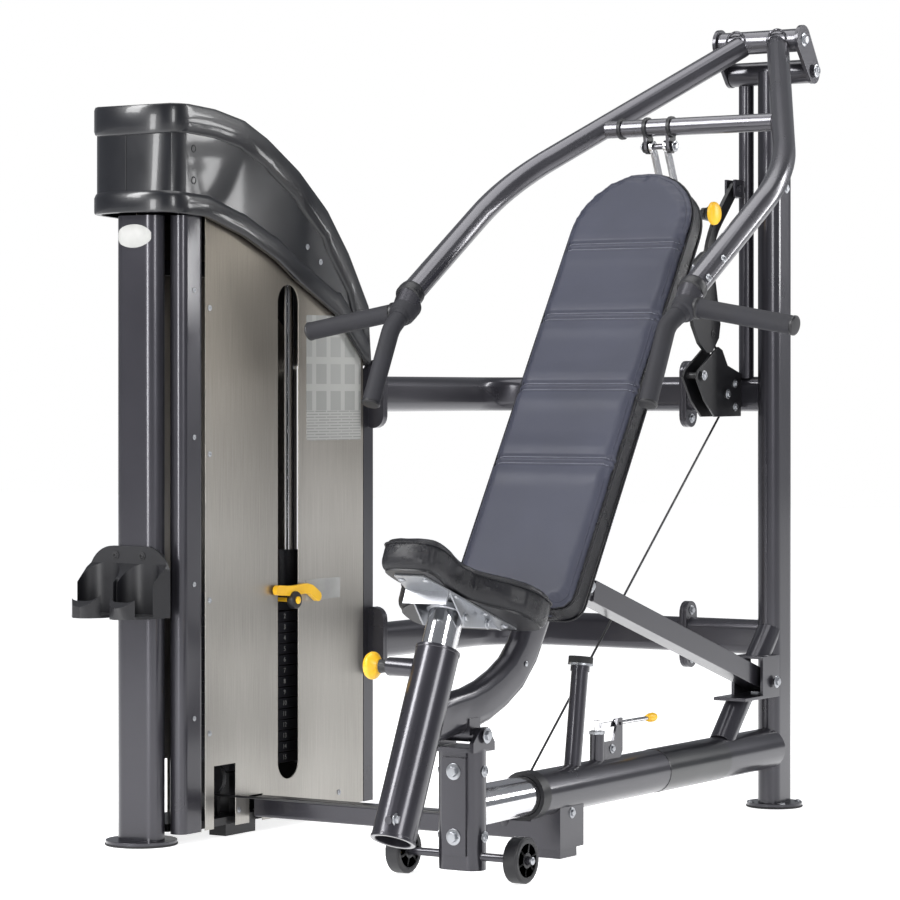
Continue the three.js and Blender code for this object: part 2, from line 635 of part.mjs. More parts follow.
// narrow nose at the front, then a wide rear that carries the hips
function seatOutline() {
  const shape = new THREE.Shape();
  shape.moveTo(0, -210);
  shape.bezierCurveTo(48, -210, 74, -206, 74, -160);
  shape.bezierCurveTo(74, -110, 62, -110, 64, -66);
  shape.bezierCurveTo(68, 0, 172, 0, 177, 84);
  shape.bezierCurveTo(180, 148, 160, 164, 90, 166);
  shape.lineTo(-90, 166);
  shape.bezierCurveTo(-160, 164, -180, 148, -177, 84);
  shape.bezierCurveTo(-172, 0, -68, 0, -64, -66);
  shape.bezierCurveTo(-62, -110, -74, -110, -74, -160);
  shape.bezierCurveTo(-74, -206, -48, -210, 0, -210);
  return shape;
}

function seatPad() {
  const { basis } = seatPlane();
  const at = onSeatAxis(PAD_FLOOR + PAD_EDGE);
  const rounding = { bevelEnabled: true, bevelThickness: PAD_EDGE, bevelSize: PAD_EDGE,
    bevelOffset: -PAD_EDGE, bevelSegments: 2, curveSegments: 5, depth: PAD_T - 2 * PAD_EDGE };
  const pad = new THREE.ExtrudeGeometry(seatOutline(), rounding);
  return pad.applyMatrix4(basis).translate(at.x, at.y, at.z);
}

// board plate, two side plates that hold the post's top between them, and a front flange
function seatBracket() {
  const { basis } = seatPlane();
  const at = onSeatAxis(PAD_FLOOR);
  const board = alongZ(polygon([[-36, -172], [36, -172], [98, 130], [-98, 130]]), -4, -GAP);
  const flange = block(-54, 54, -92, -88, -34, -3);
  const plates = join(board, flange).applyMatrix4(basis).translate(at.x, at.y, at.z);
  const side = (x0) => alongX(polygon([[-1622, 624], [-1560, 546], [-1440, 536], [-1412, 529]]), x0, x0 + 4);
  return join(plates, side(-54), side(50));
}

function seatPost() {
  const low = onSeatAxis(-300);
  const high = onSeatAxis(PAD_FLOOR - 5 - GAP);
  return hollowRod(low, high, SEAT_POST_R, SEAT_POST_R - 3, 12);
}

// ---------------------------------------------------------------- press arm
function linkPlate(x0) {
  const shape = new THREE.Shape();
  const angle = Math.atan2(YOKE.z - PIVOT.z, YOKE.y - PIVOT.y);
  shape.absarc(YOKE.y, YOKE.z, 37, angle - Math.PI / 2, angle + Math.PI / 2, false);
  shape.absarc(PIVOT.y, PIVOT.z, 32, angle + Math.PI / 2, angle + Math.PI * 1.5, false);
  shape.closePath();
  const outer = x0 > 0 ? [x0 + LINK_T - 1, x0 + LINK_T + 7] : [x0 - 7, x0 + 1];
  const bolt = rod(vec(outer[0], PIVOT.y, PIVOT.z), vec(outer[1], PIVOT.y, PIVOT.z), 15, 14);
  return join(alongX(shape, x0, x0 + LINK_T, 10), bolt);
}

function yokeTube() {
  const half = LINK_X - GAP;
  return rod(vec(-half, YOKE.y, YOKE.z), vec(half, YOKE.y, YOKE.z), YOKE.r, 24);
}

const armPath = (side) => new BentPath([
  vec(side * ARM_START.x, ARM_START.y, ARM_START.z),
  vec(side * ARM_BEND.x, ARM_BEND.y, ARM_BEND.z),
  vec(side * ARM_END.x, ARM_END.y, ARM_END.z)], ARM_BEND.r, 9);

function arm(side, radius = ARM_R) {
  const path = armPath(side);
  const tube = sweep(circle(0, 0, radius), path, path.steps, 9);
  const yoke = rod(vec(-LINK_X, YOKE.y, YOKE.z), vec(LINK_X, YOKE.y, YOKE.z), YOKE.r + GAP, 24);
  const solid = cut(tube, yoke, block(-400, 400, YOKE.y, 60, 1700, 2050));
  return radius === ARM_R ? join(solid, handleBar(side)) : solid;
}

// steel ends that carry the grips: one points outwards, one forwards and down
const HUB = { x: 366, y: -1150, z: 1232 };
const OUTER_GRIP = [{ x: 386, y: -1150, z: 1228 }, { x: 628, y: -1152, z: 1186 }];
const INNER_GRIP = [{ x: 356, y: -1222, z: 1188 }, { x: 355, y: -1308, z: 1018 }];
const GRIP_BEND_R = 52;

// the forward bar leaves the hub, bends down and runs to its end; "short" stops it early
function forwardPath(side, short) {
  const [a, b] = INNER_GRIP;
  const bend = vec(side * a.x, a.y, a.z);
  const end = vec(side * b.x, b.y, b.z).lerp(bend, short);
  return new BentPath([vec(side * HUB.x, HUB.y, HUB.z), bend, end], GRIP_BEND_R, 5);
}

const CORE_R = 13;
const TIP = 0.06;                         // share of a bar's length that only the grip covers
function handleBar(side) {
  const hub = vec(side * HUB.x, HUB.y, HUB.z);
  const end = vec(side * ARM_END.x, ARM_END.y, ARM_END.z);
  const before = vec(side * ARM_BEND.x, ARM_BEND.y, ARM_BEND.z);
  const back = end.clone().sub(before).normalize();
  const [a, b] = OUTER_GRIP;
  const outer = rod(hub, vec(side * b.x, b.y, b.z).lerp(vec(side * a.x, a.y, a.z), TIP), CORE_R, 16);
  const path = forwardPath(side, TIP);
  const forward = sweep(circle(0, 0, CORE_R), path, path.steps, 6);
  const collar = rod(end.clone().addScaledVector(back, -12), hub, ARM_R + 2, 24);
  return join(collar, outer, forward);
}

function outerGrip(side) {
  const [a, b] = OUTER_GRIP;
  const hub = vec(side * HUB.x, HUB.y, HUB.z);
  const near = vec(side * a.x, a.y, a.z);
  const to = vec(side * b.x, b.y, b.z);
  const axis = to.clone().sub(hub).normalize();
  const from = hub.clone().addScaledVector(axis, near.distanceTo(hub) + 14);
  const tip = to.clone().lerp(near, TIP).addScaledVector(axis, GAP);
  return cut(rod(from, to, GRIP_R, 18), rod(hub, tip, CORE_R + GAP, 16));
}

const GRIP_START = 34;                    // the sleeve starts this far from the hub
function forwardGrip(side) {
  const path = forwardPath(side, 0);
  const sleeve = sweep(circle(0, 0, GRIP_R), path, path.steps, 8);
  const inner = forwardPath(side, TIP - 0.003);
  const bore = sweep(circle(0, 0, CORE_R + GAP + 0.2), inner, inner.steps, 6);
  const hub = vec(side * HUB.x, HUB.y, HUB.z);
  const near = vec(side * INNER_GRIP[0].x, INNER_GRIP[0].y, INNER_GRIP[0].z);
  const out = near.sub(hub).normalize();
  const at = (distance) => hub.clone().addScaledVector(out, distance);
  const room = rod(at(-80), at(GRIP_START), 60, 16);
  return cut(sleeve, bore, room);
}

function crossbar() {
  const bar = rod(vec(-BAR.half, BAR.y, BAR.z), vec(BAR.half, BAR.y, BAR.z), BAR.r, 20);
  const { y, z } = ROD_TOP;
  const lug = (x0) => alongX(ribbon([[BAR.y, BAR.z], [(BAR.y + y) / 2, (BAR.z + z) / 2], [y, z]], 17, 4),
    x0, x0 + 8);
  const pin = rod(vec(ROD_X - 42, y, z), vec(ROD_X + 42, y, z), 7, 16);
  const body = join(bar, lug(ROD_X - 35), lug(ROD_X + 27), pin);
  const spread = [-1, 1].map((side) => arm(side, ARM_R + GAP));
  const ends = [block(-600, -BAR.half + 1, -600, -300, 1500, 1800),
    block(BAR.half - 1, 600, -600, -300, 1500, 1800)];
  return largest(cut(body, ...spread, ...ends));
}

// the biggest closed body of a cut result
function largest(geometry) {
  const pieces = toSolid(geometry).decompose();
  return fromSolid(pieces.reduce((a, b) => (a.volume() > b.volume() ? a : b)));
}

// a chrome rod with a fork at each end; the lower fork's eyes are larger than their pin
const ROD_EYE = 16;
function pushRod() {
  const top = vec(ROD_X, ROD_TOP.y, ROD_TOP.z);
  const low = vec(ROD_X, ROCKER_ROD.y, ROCKER_ROD.z);
  const span = low.clone().sub(top);
  const length = span.length();
  const tilt = Math.atan2(span.y, -span.z);
  const eye = (z, x0, t, r) => rod(vec(x0, 0, z), vec(x0 + t, 0, z), r, 18);
  const cheek = (x0, t, z0, z1, half) => block(x0, x0 + t, -half, half, z0, z1);
  const upper = [-23, 15].flatMap((x) => [eye(0, x, 8, 15), cheek(x, 8, -118, 0, 11)]);
  const lower = [-13, 7].flatMap((x) => [eye(-length, x, 6, 22), cheek(x, 6, -length, -length + 60, 14)]);
  const bridges = [block(-23, 23, -11, 11, -126, -112), block(-13, 13, -14, 14, -length + 42, -length + 60)];
  const shank = rod(vec(0, 0, -length + 50), vec(0, 0, -118), 9, 18);
  const bore = (z, r) => rod(vec(-40, 0, z), vec(40, 0, z), r, 18);
  return cut(join(...upper, ...lower, ...bridges, shank), bore(0, 7.6), bore(-length, ROD_EYE))
    .rotateX(tilt).translate(ROD_X, top.y, top.z);
}

// curved lever: a narrow neck from its pin down to a wide cam plate with a horn for the rod
const CAM_PIN = { y: -152, z: 1188 };
function rockerLever() {
  const [x0, x1] = ROCKER_X;
  const route = [[ROCKER_PIN.y, ROCKER_PIN.z], [-108, 1506], [-162, 1450], [-193, 1388], [-203, 1320]];
  const neck = alongX(ribbon(route, 16, 12), x0, x1);
  const cam = alongX(polygon([[-182, 1400], [-156, 1302], [-135, 1215], [-143, 1180], [-180, 1143],
    [-208, 1143], [-244, 1165], [-277, 1209], [-296, 1270], [-328, 1330], [-326, 1356], [-308, 1364],
    [-286, 1358], [-224, 1392]]), x0, x1);
  const ear = alongX(ribbon([[-140, 1480], [-176, 1485], [KNOB.y, KNOB.z]], 15, 4), x0, x1);
  const pin = rod(vec(x0 - 12, ROCKER_ROD.y, ROCKER_ROD.z),
    vec(x1 + 12, ROCKER_ROD.y, ROCKER_ROD.z), 8, 16);
  const peg = rod(vec(x0 - 12, CAM_PIN.y, CAM_PIN.z), vec(x0 + 2, CAM_PIN.y, CAM_PIN.z), 7, 14);
  const bore = rod(vec(-130, ROCKER_PIN.y, ROCKER_PIN.z), vec(-50, ROCKER_PIN.y, ROCKER_PIN.z), 8.5, 14);
  const knobBore = rod(vec(x0 - 5, KNOB.y, KNOB.z), vec(-50, KNOB.y, KNOB.z), 6.5, 16);
  return cut(join(neck, cam, ear, pin, peg), bore, knobBore);
}

const KNOB = { y: -212, z: 1488 };
function rockerPullPin() {
  const stem = rod(vec(ROCKER_X[0] + 2, KNOB.y, KNOB.z), vec(-62, KNOB.y, KNOB.z), 6, 16);
  const profile = [[0, 0], [14, 0], [16, 8], [27, 15], [28, 21], [25, 26], [0, 29]];
  const knob = new THREE.LatheGeometry(profile.map(([r, h]) => new THREE.Vector2(r, h)), 24);
  knob.rotateZ(-Math.PI / 2).translate(ROCKER_X[1] + 3, KNOB.y, KNOB.z);
  return join(stem, knob);
}

// ---------------------------------------------------------------- weight tower
// front post with its foot plate, and the top beam that holds the pulleys and the rods
const POST_Y = -1421;
function towerFrontPost() {
  const post = alongZ(oval(TOWER_X, POST_Y, 120, 60), 6, 1452, 6);
  const foot = rod(vec(TOWER_X, POST_Y, 0), vec(TOWER_X, POST_Y, FOOT_T), 83, 36);
  const beam = block(TOWER_X - 20, TOWER_X + 20, -1400, -812, 1316, 1352);
  const holes = ROD_Y.map((y) => rod(vec(TOWER_X, y, 1300), vec(TOWER_X, y, 1370), 13, 14));
  const cableHole = (y) => rod(vec(TOWER_X, y, 1300), vec(TOWER_X, y, 1370), 8, 14);
  const { y, z } = TOP_PULLEY;
  const ear = block(TOWER_X + 10, TOWER_X + 20, y - 16, y + 16, 1340, z + 16);
  const pin = rod(vec(TOWER_X - PULLEY_W / 2 - 4, y, z), vec(TOWER_X + 15, y, z), 8, 14);
  return cut(join(post, foot, beam, ear, pin), ...holes, cableHole(STACK_Y), cableHole(TOWER_LOW.y));
}

function towerRearPost() {
  const post = block(PANEL_X[1] + 10, PANEL_X[0] + 3, -650, -608, 26, 1104);
  const lug = (z) => alongY(oval(TOWER_FLANGE.x, z, 60, 170), TOWER_FLANGE.y - 10 - GAP,
    TOWER_FLANGE.y - GAP, 5);
  const bracket = (z) => block(-860, TOWER_FLANGE.x, TOWER_FLANGE.y - 10 - GAP, TOWER_FLANGE.y - GAP,
    z - 60, z + 60);
  const room = [UPPER_Z, LOWER_Z].map((z) => alongY(oval(TOWER_FLANGE.x, z, 61, 171),
    TOWER_FLANGE.y - GAP, -600, 5));
  return cut(join(post, lug(UPPER_Z), lug(LOWER_Z), bracket(UPPER_Z), bracket(LOWER_Z)), ...room);
}

const BASE_FRAME_Z = [28, 46];
function towerBaseFrame() {
  const [z0, z1] = BASE_FRAME_Z;
  const tray = join(block(-1003, -827, -1312, -652, z0, z1), block(-955, -862, -1391, -1300, z0, z1));
  const hollow = [block(-985, -845, -795, -670, 0, 80)];
  const pedestal = block(-965, -865, -1145, -815, z1 - 4, 140);
  const foot = rod(vec(-915, -700, 0), vec(-915, -700, 30), 22, 14);
  const rear = block(-985, -845, -720, -652, z0, z1);
  const rubber = block(-880, -832, -1205, -1085, 0, z0 + 2);
  const tube = block(-829, -790, -1137, -1083, 0, 90);
  const rods = ROD_Y.map((y) => rod(vec(TOWER_X, y, 60), vec(TOWER_X, y, 160), 12.5 + GAP, 18));
  const selector = rod(vec(TOWER_X, STACK_Y, 100), vec(TOWER_X, STACK_Y, 150), 12, 14);
  const { centre } = towerLowPlace();
  const ear = block(centre.x - 14, centre.x + 14, TOWER_LOW.y + 9, TOWER_LOW.y + 19, z1 - 4, centre.z + 14);
  const onAxle = (y) => vec(centre.x, TOWER_LOW.y + y, centre.z);
  const pin = rod(onAxle(-11), onAxle(12), 8, 14);
  const body = join(cut(join(tray, pedestal), ...hollow), rear, foot, rubber, ear, pin);
  return cut(body, tube, ...rods, selector);
}

function guideRod(y) {
  return rod(vec(TOWER_X, y, 60.5), vec(TOWER_X, y, 1349), 12.5, 20);
}

function sideRail(side) {
  const near = side > 0;
  const x0 = near ? -858 : -1006;
  return alongZ(roundedRect(x0, x0 + 46, -1400, -1314, 20), 25, 1452, 4);
}

// side view of the cover; inset draws the same form one wall thickness smaller
const COVER_TOP = [[-1505, 1700], [-1450, 1706], [-1395, 1707], [-1294, 1702], [-1182, 1684], [-1085, 1646],
  [-956, 1577], [-836, 1489], [-742, 1386], [-651, 1254]];
const COVER_LOW = [[-636, 1110], [-660, 1119], [-788, 1234], [-956, 1310], [-1048, 1360], [-1182, 1412],
  [-1327, 1450], [-1505, 1458]];
function coverProfile(inset) {
  const shrink = ([y, z], sign) => [y - inset * (y > -700 ? 1 : 0), z - sign * inset];
  const top = COVER_TOP.map((point) => shrink(point, 1));
  const low = COVER_LOW.map((point) => shrink(point, 1));
  return polygon([...top, ...low].reverse());
}

// plan view of the cover: straight sides and a blunt rounded nose
const COVER_NOSE = [[118, -1405], [117, -1430], [108, -1449], [88, -1464], [56, -1474], [20, -1479]];
function coverPlan(inset) {
  const scale = (118 - inset) / 118;
  const right = COVER_NOSE.map(([x, y]) => [TOWER_X + x * scale, y + inset]);
  const left = COVER_NOSE.map(([x, y]) => [TOWER_X - x * scale, y + inset]).reverse();
  const half = 118 - inset;
  return polygon([[TOWER_X + half, -500], ...right, ...left, [TOWER_X - half, -500]].reverse());
}

// hollow moulded cover; its cavity is the same form, one wall thickness smaller, open below
function topCover() {
  const wall = 7;
  const outer = common(alongX(coverProfile(0), TOWER_X - 130, TOWER_X + 130),
    alongZ(coverPlan(0), 1000, 1800));
  const down = alongX(coverProfile(wall), TOWER_X - 130, TOWER_X + 130);
  const lower = alongX(coverProfile(wall), TOWER_X - 130, TOWER_X + 130).translate(0, 0, -70);
  const cavity = common(join(down, lower), alongZ(coverPlan(wall), 900, 1800));
  return cut(outer, cavity);
}

// flat sheet: the top edge follows the cover, and the slot lets the selector pin travel
function sidePanel(side) {
  const near = side > 0;
  const shape = new THREE.Shape();
  shape.moveTo(-1312, 26);
  shape.lineTo(-652, 26);
  shape.lineTo(-652, 1150);
  shape.bezierCurveTo(-800, 1320, -1080, 1446, -1312, 1466);
  shape.closePath();
  const [z0, z1] = SLOT.z;
  shape.holes.push(oval(SLOT.y, (z0 + z1) / 2, SLOT.w, z1 - z0));
  const x0 = near ? PANEL_X[0] : PANEL_X[1];
  const sheet = alongX(shape, x0, x0 + 3, 8);
  return cut(sheet, block(-1100, -700, -1278, -1192, 0, 172), block(-900, -780, -1137, -1083, 0, 90));
}

function plateBlock(z0, z1, shrink) {
  const x = PLATE.x / 2 - shrink;
  const y = PLATE.y / 2 - shrink;
  return block(TOWER_X - x, TOWER_X + x, STACK_Y - y, STACK_Y + y, z0, z1);
}

const stackBores = (z0, z1) => [
  ...ROD_Y.map((y) => rod(vec(TOWER_X, y, z0), vec(TOWER_X, y, z1), 13.5, 14)),
  rod(vec(TOWER_X, STACK_Y, z0), vec(TOWER_X, STACK_Y, z1), 11, 14)];

// the plates rest on each other: one solid with a groove at every joint
function weightStack() {
  const top = PLATE.low + PLATE.count * PLATE.pitch - PLATE.gap;
  const plates = [];
  for (let i = 0; i < PLATE.count; i += 1) {
    const z = PLATE.low + i * PLATE.pitch;
    plates.push(plateBlock(z, z + PLATE.pitch - PLATE.gap, 0));
  }
  return cut(join(plateBlock(PLATE.low, top, 5), ...plates), ...stackBores(100, 700));
}

function headPlate() {
  const z1 = HEAD.z + HEAD.t;
  const body = plateBlock(HEAD.z, z1, 0);
  const bush = (y) => rod(vec(TOWER_X, y, z1 - 2), vec(TOWER_X, y, 658), 24, 18);
  const neck = rod(vec(TOWER_X, STACK_Y, z1 - 2), vec(TOWER_X, STACK_Y, 655), 19, 18);
  const stem = rod(vec(TOWER_X, STACK_Y, 152), vec(TOWER_X, STACK_Y, HEAD.z + 4), 9.5, 14);
  const rods = ROD_Y.map((y) => rod(vec(TOWER_X, y, 500), vec(TOWER_X, y, 700), 13, 18));
  const pinHole = rod(vec(TOWER_X + 12, SLOT.y, PIN_Z), vec(-800, SLOT.y, PIN_Z), 5.6, 16);
  return cut(join(body, bush(ROD_Y[0]), bush(ROD_Y[1]), neck, stem), ...rods, pinHole);
}

function selectorPin() {
  const stem = rod(vec(TOWER_X + 16, SLOT.y, PIN_Z), vec(-800, SLOT.y, PIN_Z), 5, 16);
  const knob = rod(vec(-806, SLOT.y, PIN_Z), vec(-790, SLOT.y, PIN_Z), 15, 18);
  const wing = alongX(ribbon([[SLOT.y - 62, PIN_Z + 26], [SLOT.y, PIN_Z + 22], [SLOT.y + 66, PIN_Z + 24],
    [SLOT.y + 104, PIN_Z + 4]], 12, 10), -806, -794);
  return join(stem, knob, wing);
}

// two pockets side by side with a rim that slopes down to the front, on a high back plate
const HOLDER = { x: -924, half: 115, depth: 158, low: 528, high: 690, rim: [650, 556] };
function accessoryHolder() {
  const { x, half, depth, low, high, rim } = HOLDER;
  const front = POST_Y - 30 - GAP;
  const shape = new THREE.Shape();
  shape.moveTo(x + half, front);
  shape.lineTo(x - half, front);
  shape.bezierCurveTo(x - half, front - depth, x - 8, front - depth, x - 4, front - 46);
  shape.lineTo(x + 4, front - 46);
  shape.bezierCurveTo(x + 8, front - depth, x + half, front - depth, x + half, front);
  const outer = alongZ(shape, low, high, 7);
  const pocket = (side) => {
    const middle = x + side * half / 2;
    const width = half / 2 - 6;
    return alongZ(roundedRect(middle - width, middle + width, front - depth * 0.68, front - 6, 40),
      low + 6, high + 60, 5);
  };
  const far = front - depth;
  const above = alongX(polygon([[far, rim[1] - 30], [front - 6, rim[0]], [front - 6, high + 80],
    [far, high + 80]]), x - 200, x + 200);
  const corners = cut(block(x - 200, x + 200, front - 60, front + 20, low + 40, high + 40),
    alongY(roundedRect(x - half - 1, x + half + 1, low - 50, high, 70), front - 80, front + 40, 5));
  return cut(outer, pocket(-1), pocket(1), above, corners);
}

// ---------------------------------------------------------------- cable and pulleys
const ropeTube = (path) => sweep(circle(0, 0, CABLE_R), path, path.steps, 4);
const CABLE_JOINT_Z = 1400;               // where the stack's run of cable takes over

function towerLowPlace() {
  const seat = TOWER_LOW.r - CABLE_SEAT;
  return { centre: vec(TOWER_X + seat, TOWER_LOW.y, LOW_PULLEY.runZ + seat) };
}

// where the run from the rocker meets the housing pulley's rear side
function houseTangent() {
  const seat = HOUSE_PULLEY.r - CABLE_SEAT;
  const peg = vec(HOUSE_PULLEY.x, CAM_PIN.y, CAM_PIN.z);
  const toCentre = vec(0, HOUSE_PULLEY.y - peg.y, HOUSE_PULLEY.z - peg.z);
  const turn = Math.asin(seat / toCentre.length());
  const down = toCentre.clone().normalize().applyAxisAngle(vec(1, 0, 0), turn);
  const reach = Math.sqrt(toCentre.lengthSq() - seat * seat);
  return { peg, down, touch: peg.clone().addScaledVector(down, reach), seat };
}

// corner of the two tangents at the housing pulley
function houseCorner() {
  const { down, touch, seat } = houseTangent();
  const { incoming } = lowPulleyPlace();
  const half = down.angleTo(incoming) / 2;
  return touch.clone().addScaledVector(down, seat * Math.tan(half));
}

const RUN_SPLIT = 12;                     // length of the straight part kept above the pulley
function mainCable() {
  const { down, touch } = houseTangent();
  const start = touch.clone().addScaledVector(down, -RUN_SPLIT);
  const { corner } = lowPulleyPlace();
  const overTop = TOP_PULLEY.z + TOP_PULLEY.r - CABLE_SEAT;
  const points = [start, houseCorner(), corner, vec(TOWER_X, TOWER_LOW.y, LOW_PULLEY.runZ),
    vec(TOWER_X, TOWER_LOW.y, overTop), vec(TOWER_X, STACK_Y, overTop),
    vec(TOWER_X, STACK_Y, CABLE_JOINT_Z)];
  const radii = [HOUSE_PULLEY.r, LOW_PULLEY.r, TOWER_LOW.r, TOP_PULLEY.r, TOP_PULLEY.r]
    .map((r) => r - CABLE_SEAT);
  radii[3] -= 0.3;
  radii[4] -= 0.3;
  return ropeTube(new BentPath(points, radii, 6));
}

function rockerRun() {
  const { peg, down, touch } = houseTangent();
  const from = peg.clone().addScaledVector(down, 7 + GAP + 1);
  return rod(from, touch.clone().addScaledVector(down, -RUN_SPLIT - GAP), CABLE_R, 8);
}

const stackRun = () =>
  rod(vec(TOWER_X, STACK_Y, 655 + GAP), vec(TOWER_X, STACK_Y, CABLE_JOINT_Z - GAP), CABLE_R, 8);

// ---------------------------------------------------------------- assembly
const machine = new THREE.Group();
const frame = new THREE.Group();
const tower = new THREE.Group();
const pressArm = new THREE.Group();
const linkage = new THREE.Group();
const carriage = new THREE.Group();
const bench = new THREE.Group();
machine.add(frame, tower, pressArm, linkage, carriage, bench);

addTo(frame, 'rear_upright', rearUpright(), FRAME_GREY);
addTo(frame, 'upper_stub', upperStub(), FRAME_GREY);
addTo(frame, 'lower_stub', stub(LOWER_Z), FRAME_GREY);
addTo(frame, 'upper_cross_tube', crossTube(UPPER_Z), FRAME_GREY);
addTo(frame, 'lower_cross_tube', crossTube(LOWER_Z), FRAME_GREY);
addTo(frame, 'pulley_housing', pulleyHousing(), BLACK_STEEL);
addTo(frame, 'base_tube', baseTube(), FRAME_GREY);
addTo(frame, 'base_collar', baseCollar(), MATT_BLACK);
addTo(frame, 'diagonal_brace', diagonalBrace(), FRAME_GREY);
addTo(frame, 'bumper_post', bumperPost(), FRAME_GREY);
addTo(frame, 'bumper_cap', bumperCap(), MATT_BLACK);
addTo(frame, 'low_cross_tube', lowCrossTube(), FRAME_GREY);
addTo(frame, 'lock_lever', lockLever(), CHROME);
addTo(frame, 'lock_plunger', lockPlunger(), CHROME);

addTo(tower, 'tower_front_post', towerFrontPost(), FRAME_GREY);
addTo(tower, 'tower_rear_post', towerRearPost(), FRAME_GREY);
addTo(tower, 'tower_base_frame', towerBaseFrame(), BLACK_STEEL);
addTo(tower, 'side_rail_near', sideRail(1), FRAME_GREY);
addTo(tower, 'side_rail_far', sideRail(-1), FRAME_GREY);
addTo(tower, 'side_panel_near', sidePanel(1), STEEL_PANEL);
addTo(tower, 'side_panel_far', sidePanel(-1), STEEL_PANEL);
addTo(tower, 'top_cover', topCover(), GLOSS_BLACK);
addTo(tower, 'guide_rod_front', guideRod(ROD_Y[0]), CHROME);
addTo(tower, 'guide_rod_rear', guideRod(ROD_Y[1]), CHROME);
addTo(tower, 'weight_stack', weightStack(), IRON);
addTo(tower, 'head_plate', headPlate(), IRON);
addTo(tower, 'selector_pin', selectorPin(), YELLOW);
addTo(tower, 'accessory_holder', accessoryHolder(), MATT_BLACK);

addTo(pressArm, 'yoke_tube', yokeTube(), ARM_GREY);
addTo(pressArm, 'link_plate_left', linkPlate(-LINK_X - LINK_T), FRAME_GREY);
addTo(pressArm, 'link_plate_right', linkPlate(LINK_X), FRAME_GREY);
addTo(pressArm, 'arm_crossbar', crossbar(), ARM_GREY);
for (const [name, side] of [['left', -1], ['right', 1]]) {
  addTo(pressArm, `arm_${name}`, arm(side), ARM_GREY);
  addTo(pressArm, `grip_${name}_outer`, outerGrip(side), GRIP_RUBBER);
  addTo(pressArm, `grip_${name}_forward`, forwardGrip(side), GRIP_RUBBER);
}

addTo(linkage, 'push_rod', pushRod(), CHROME);
addTo(linkage, 'rocker_lever', rockerLever(), BLACK_STEEL);
addTo(linkage, 'rocker_pull_pin', rockerPullPin(), YELLOW);

addTo(carriage, 'carriage_post', carriagePost(), FRAME_GREY);
addTo(carriage, 'carriage_tube', carriageTube(), CHROME);
addAt(carriage, 'wheel_left', wheel(), MATT_BLACK, -WHEEL.x, AXLE.y, AXLE.z);
addAt(carriage, 'wheel_right', wheel(), MATT_BLACK, WHEEL.x, AXLE.y, AXLE.z);

addTo(bench, 'seat_outer_tube', seatOuterTube(), FRAME_GREY);
addTo(bench, 'seat_pull_pin', seatPullPin(), YELLOW);
addTo(bench, 'backrest_tube', backrestTube(), FRAME_GREY);
addTo(bench, 'backrest_pad', backrestPad(), VINYL_BLUE);
addTo(bench, 'seat_post', seatPost(), CHROME);
addTo(bench, 'seat_bracket', seatBracket(), ZINC);
addTo(bench, 'seat_pad', seatPad(), VINYL_BLACK);
addTo(bench, 'backrest_strut', strut(), FRAME_GREY);

addAt(frame, 'housing_pulley', grooved(HOUSE_PULLEY.r).rotateZ(Math.PI / 2), MATT_BLACK,
  HOUSE_PULLEY.x, HOUSE_PULLEY.y, HOUSE_PULLEY.z);
const lowPlace = lowPulleyPlace();
const lowTurn = new THREE.Quaternion().setFromUnitVectors(vec(0, 1, 0), lowPlace.axis);
addAt(frame, 'lower_pulley', grooved(LOW_PULLEY.r).applyQuaternion(lowTurn), MATT_BLACK,
  ...lowPlace.centre.toArray());
addAt(tower, 'tower_low_pulley', grooved(TOWER_LOW.r), MATT_BLACK,
  ...towerLowPlace().centre.toArray());
addAt(tower, 'top_pulley', grooved(TOP_PULLEY.rim, 32).rotateZ(Math.PI / 2), MATT_BLACK,
  TOWER_X, TOP_PULLEY.y, TOP_PULLEY.z);
addTo(frame, 'cable', mainCable(), BLACK_STEEL);
addTo(frame, 'cable_rocker_end', rockerRun(), BLACK_STEEL);
addTo(tower, 'cable_stack_end', stackRun(), BLACK_STEEL);

export default machine;
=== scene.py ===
# Blender look of the chest press: materials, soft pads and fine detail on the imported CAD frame.
# Metres, +Z up. Positions repeat the CAD's own dimensions.
import json
import math
import bpy
import bmesh
from mathutils import Matrix, Vector


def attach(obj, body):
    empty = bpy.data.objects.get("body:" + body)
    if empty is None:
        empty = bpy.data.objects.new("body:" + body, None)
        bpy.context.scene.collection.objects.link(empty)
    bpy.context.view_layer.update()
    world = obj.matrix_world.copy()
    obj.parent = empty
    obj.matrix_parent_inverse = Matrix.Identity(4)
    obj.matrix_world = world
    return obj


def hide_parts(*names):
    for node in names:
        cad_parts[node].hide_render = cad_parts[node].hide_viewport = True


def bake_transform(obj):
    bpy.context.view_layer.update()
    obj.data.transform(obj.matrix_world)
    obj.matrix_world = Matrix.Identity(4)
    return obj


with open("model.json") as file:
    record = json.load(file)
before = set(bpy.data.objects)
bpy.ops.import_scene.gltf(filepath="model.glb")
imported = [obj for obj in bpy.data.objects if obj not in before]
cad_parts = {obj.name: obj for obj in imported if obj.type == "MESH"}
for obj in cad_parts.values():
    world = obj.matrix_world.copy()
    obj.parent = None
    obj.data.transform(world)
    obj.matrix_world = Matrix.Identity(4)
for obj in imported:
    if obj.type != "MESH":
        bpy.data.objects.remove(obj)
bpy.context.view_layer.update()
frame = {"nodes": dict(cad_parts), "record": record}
NODES = frame["nodes"]
MM = 0.001


def mm(x, y, z):
    return Vector((x * MM, y * MM, z * MM))


# ---------------------------------------------------------------- camera and light
scene = bpy.context.scene


def make_camera():
    data = bpy.data.cameras.new("camera")
    data.sensor_width = 36
    data.lens = 134.16
    data.shift_y = -0.0622
    data.clip_end = 60
    cam = bpy.data.objects.new("camera", data)
    cam.location = (3.818, -7.599, 1.040)
    cam.rotation_euler = (math.radians(90), 0, math.radians(32.2))
    scene.collection.objects.link(cam)
    scene.camera = cam


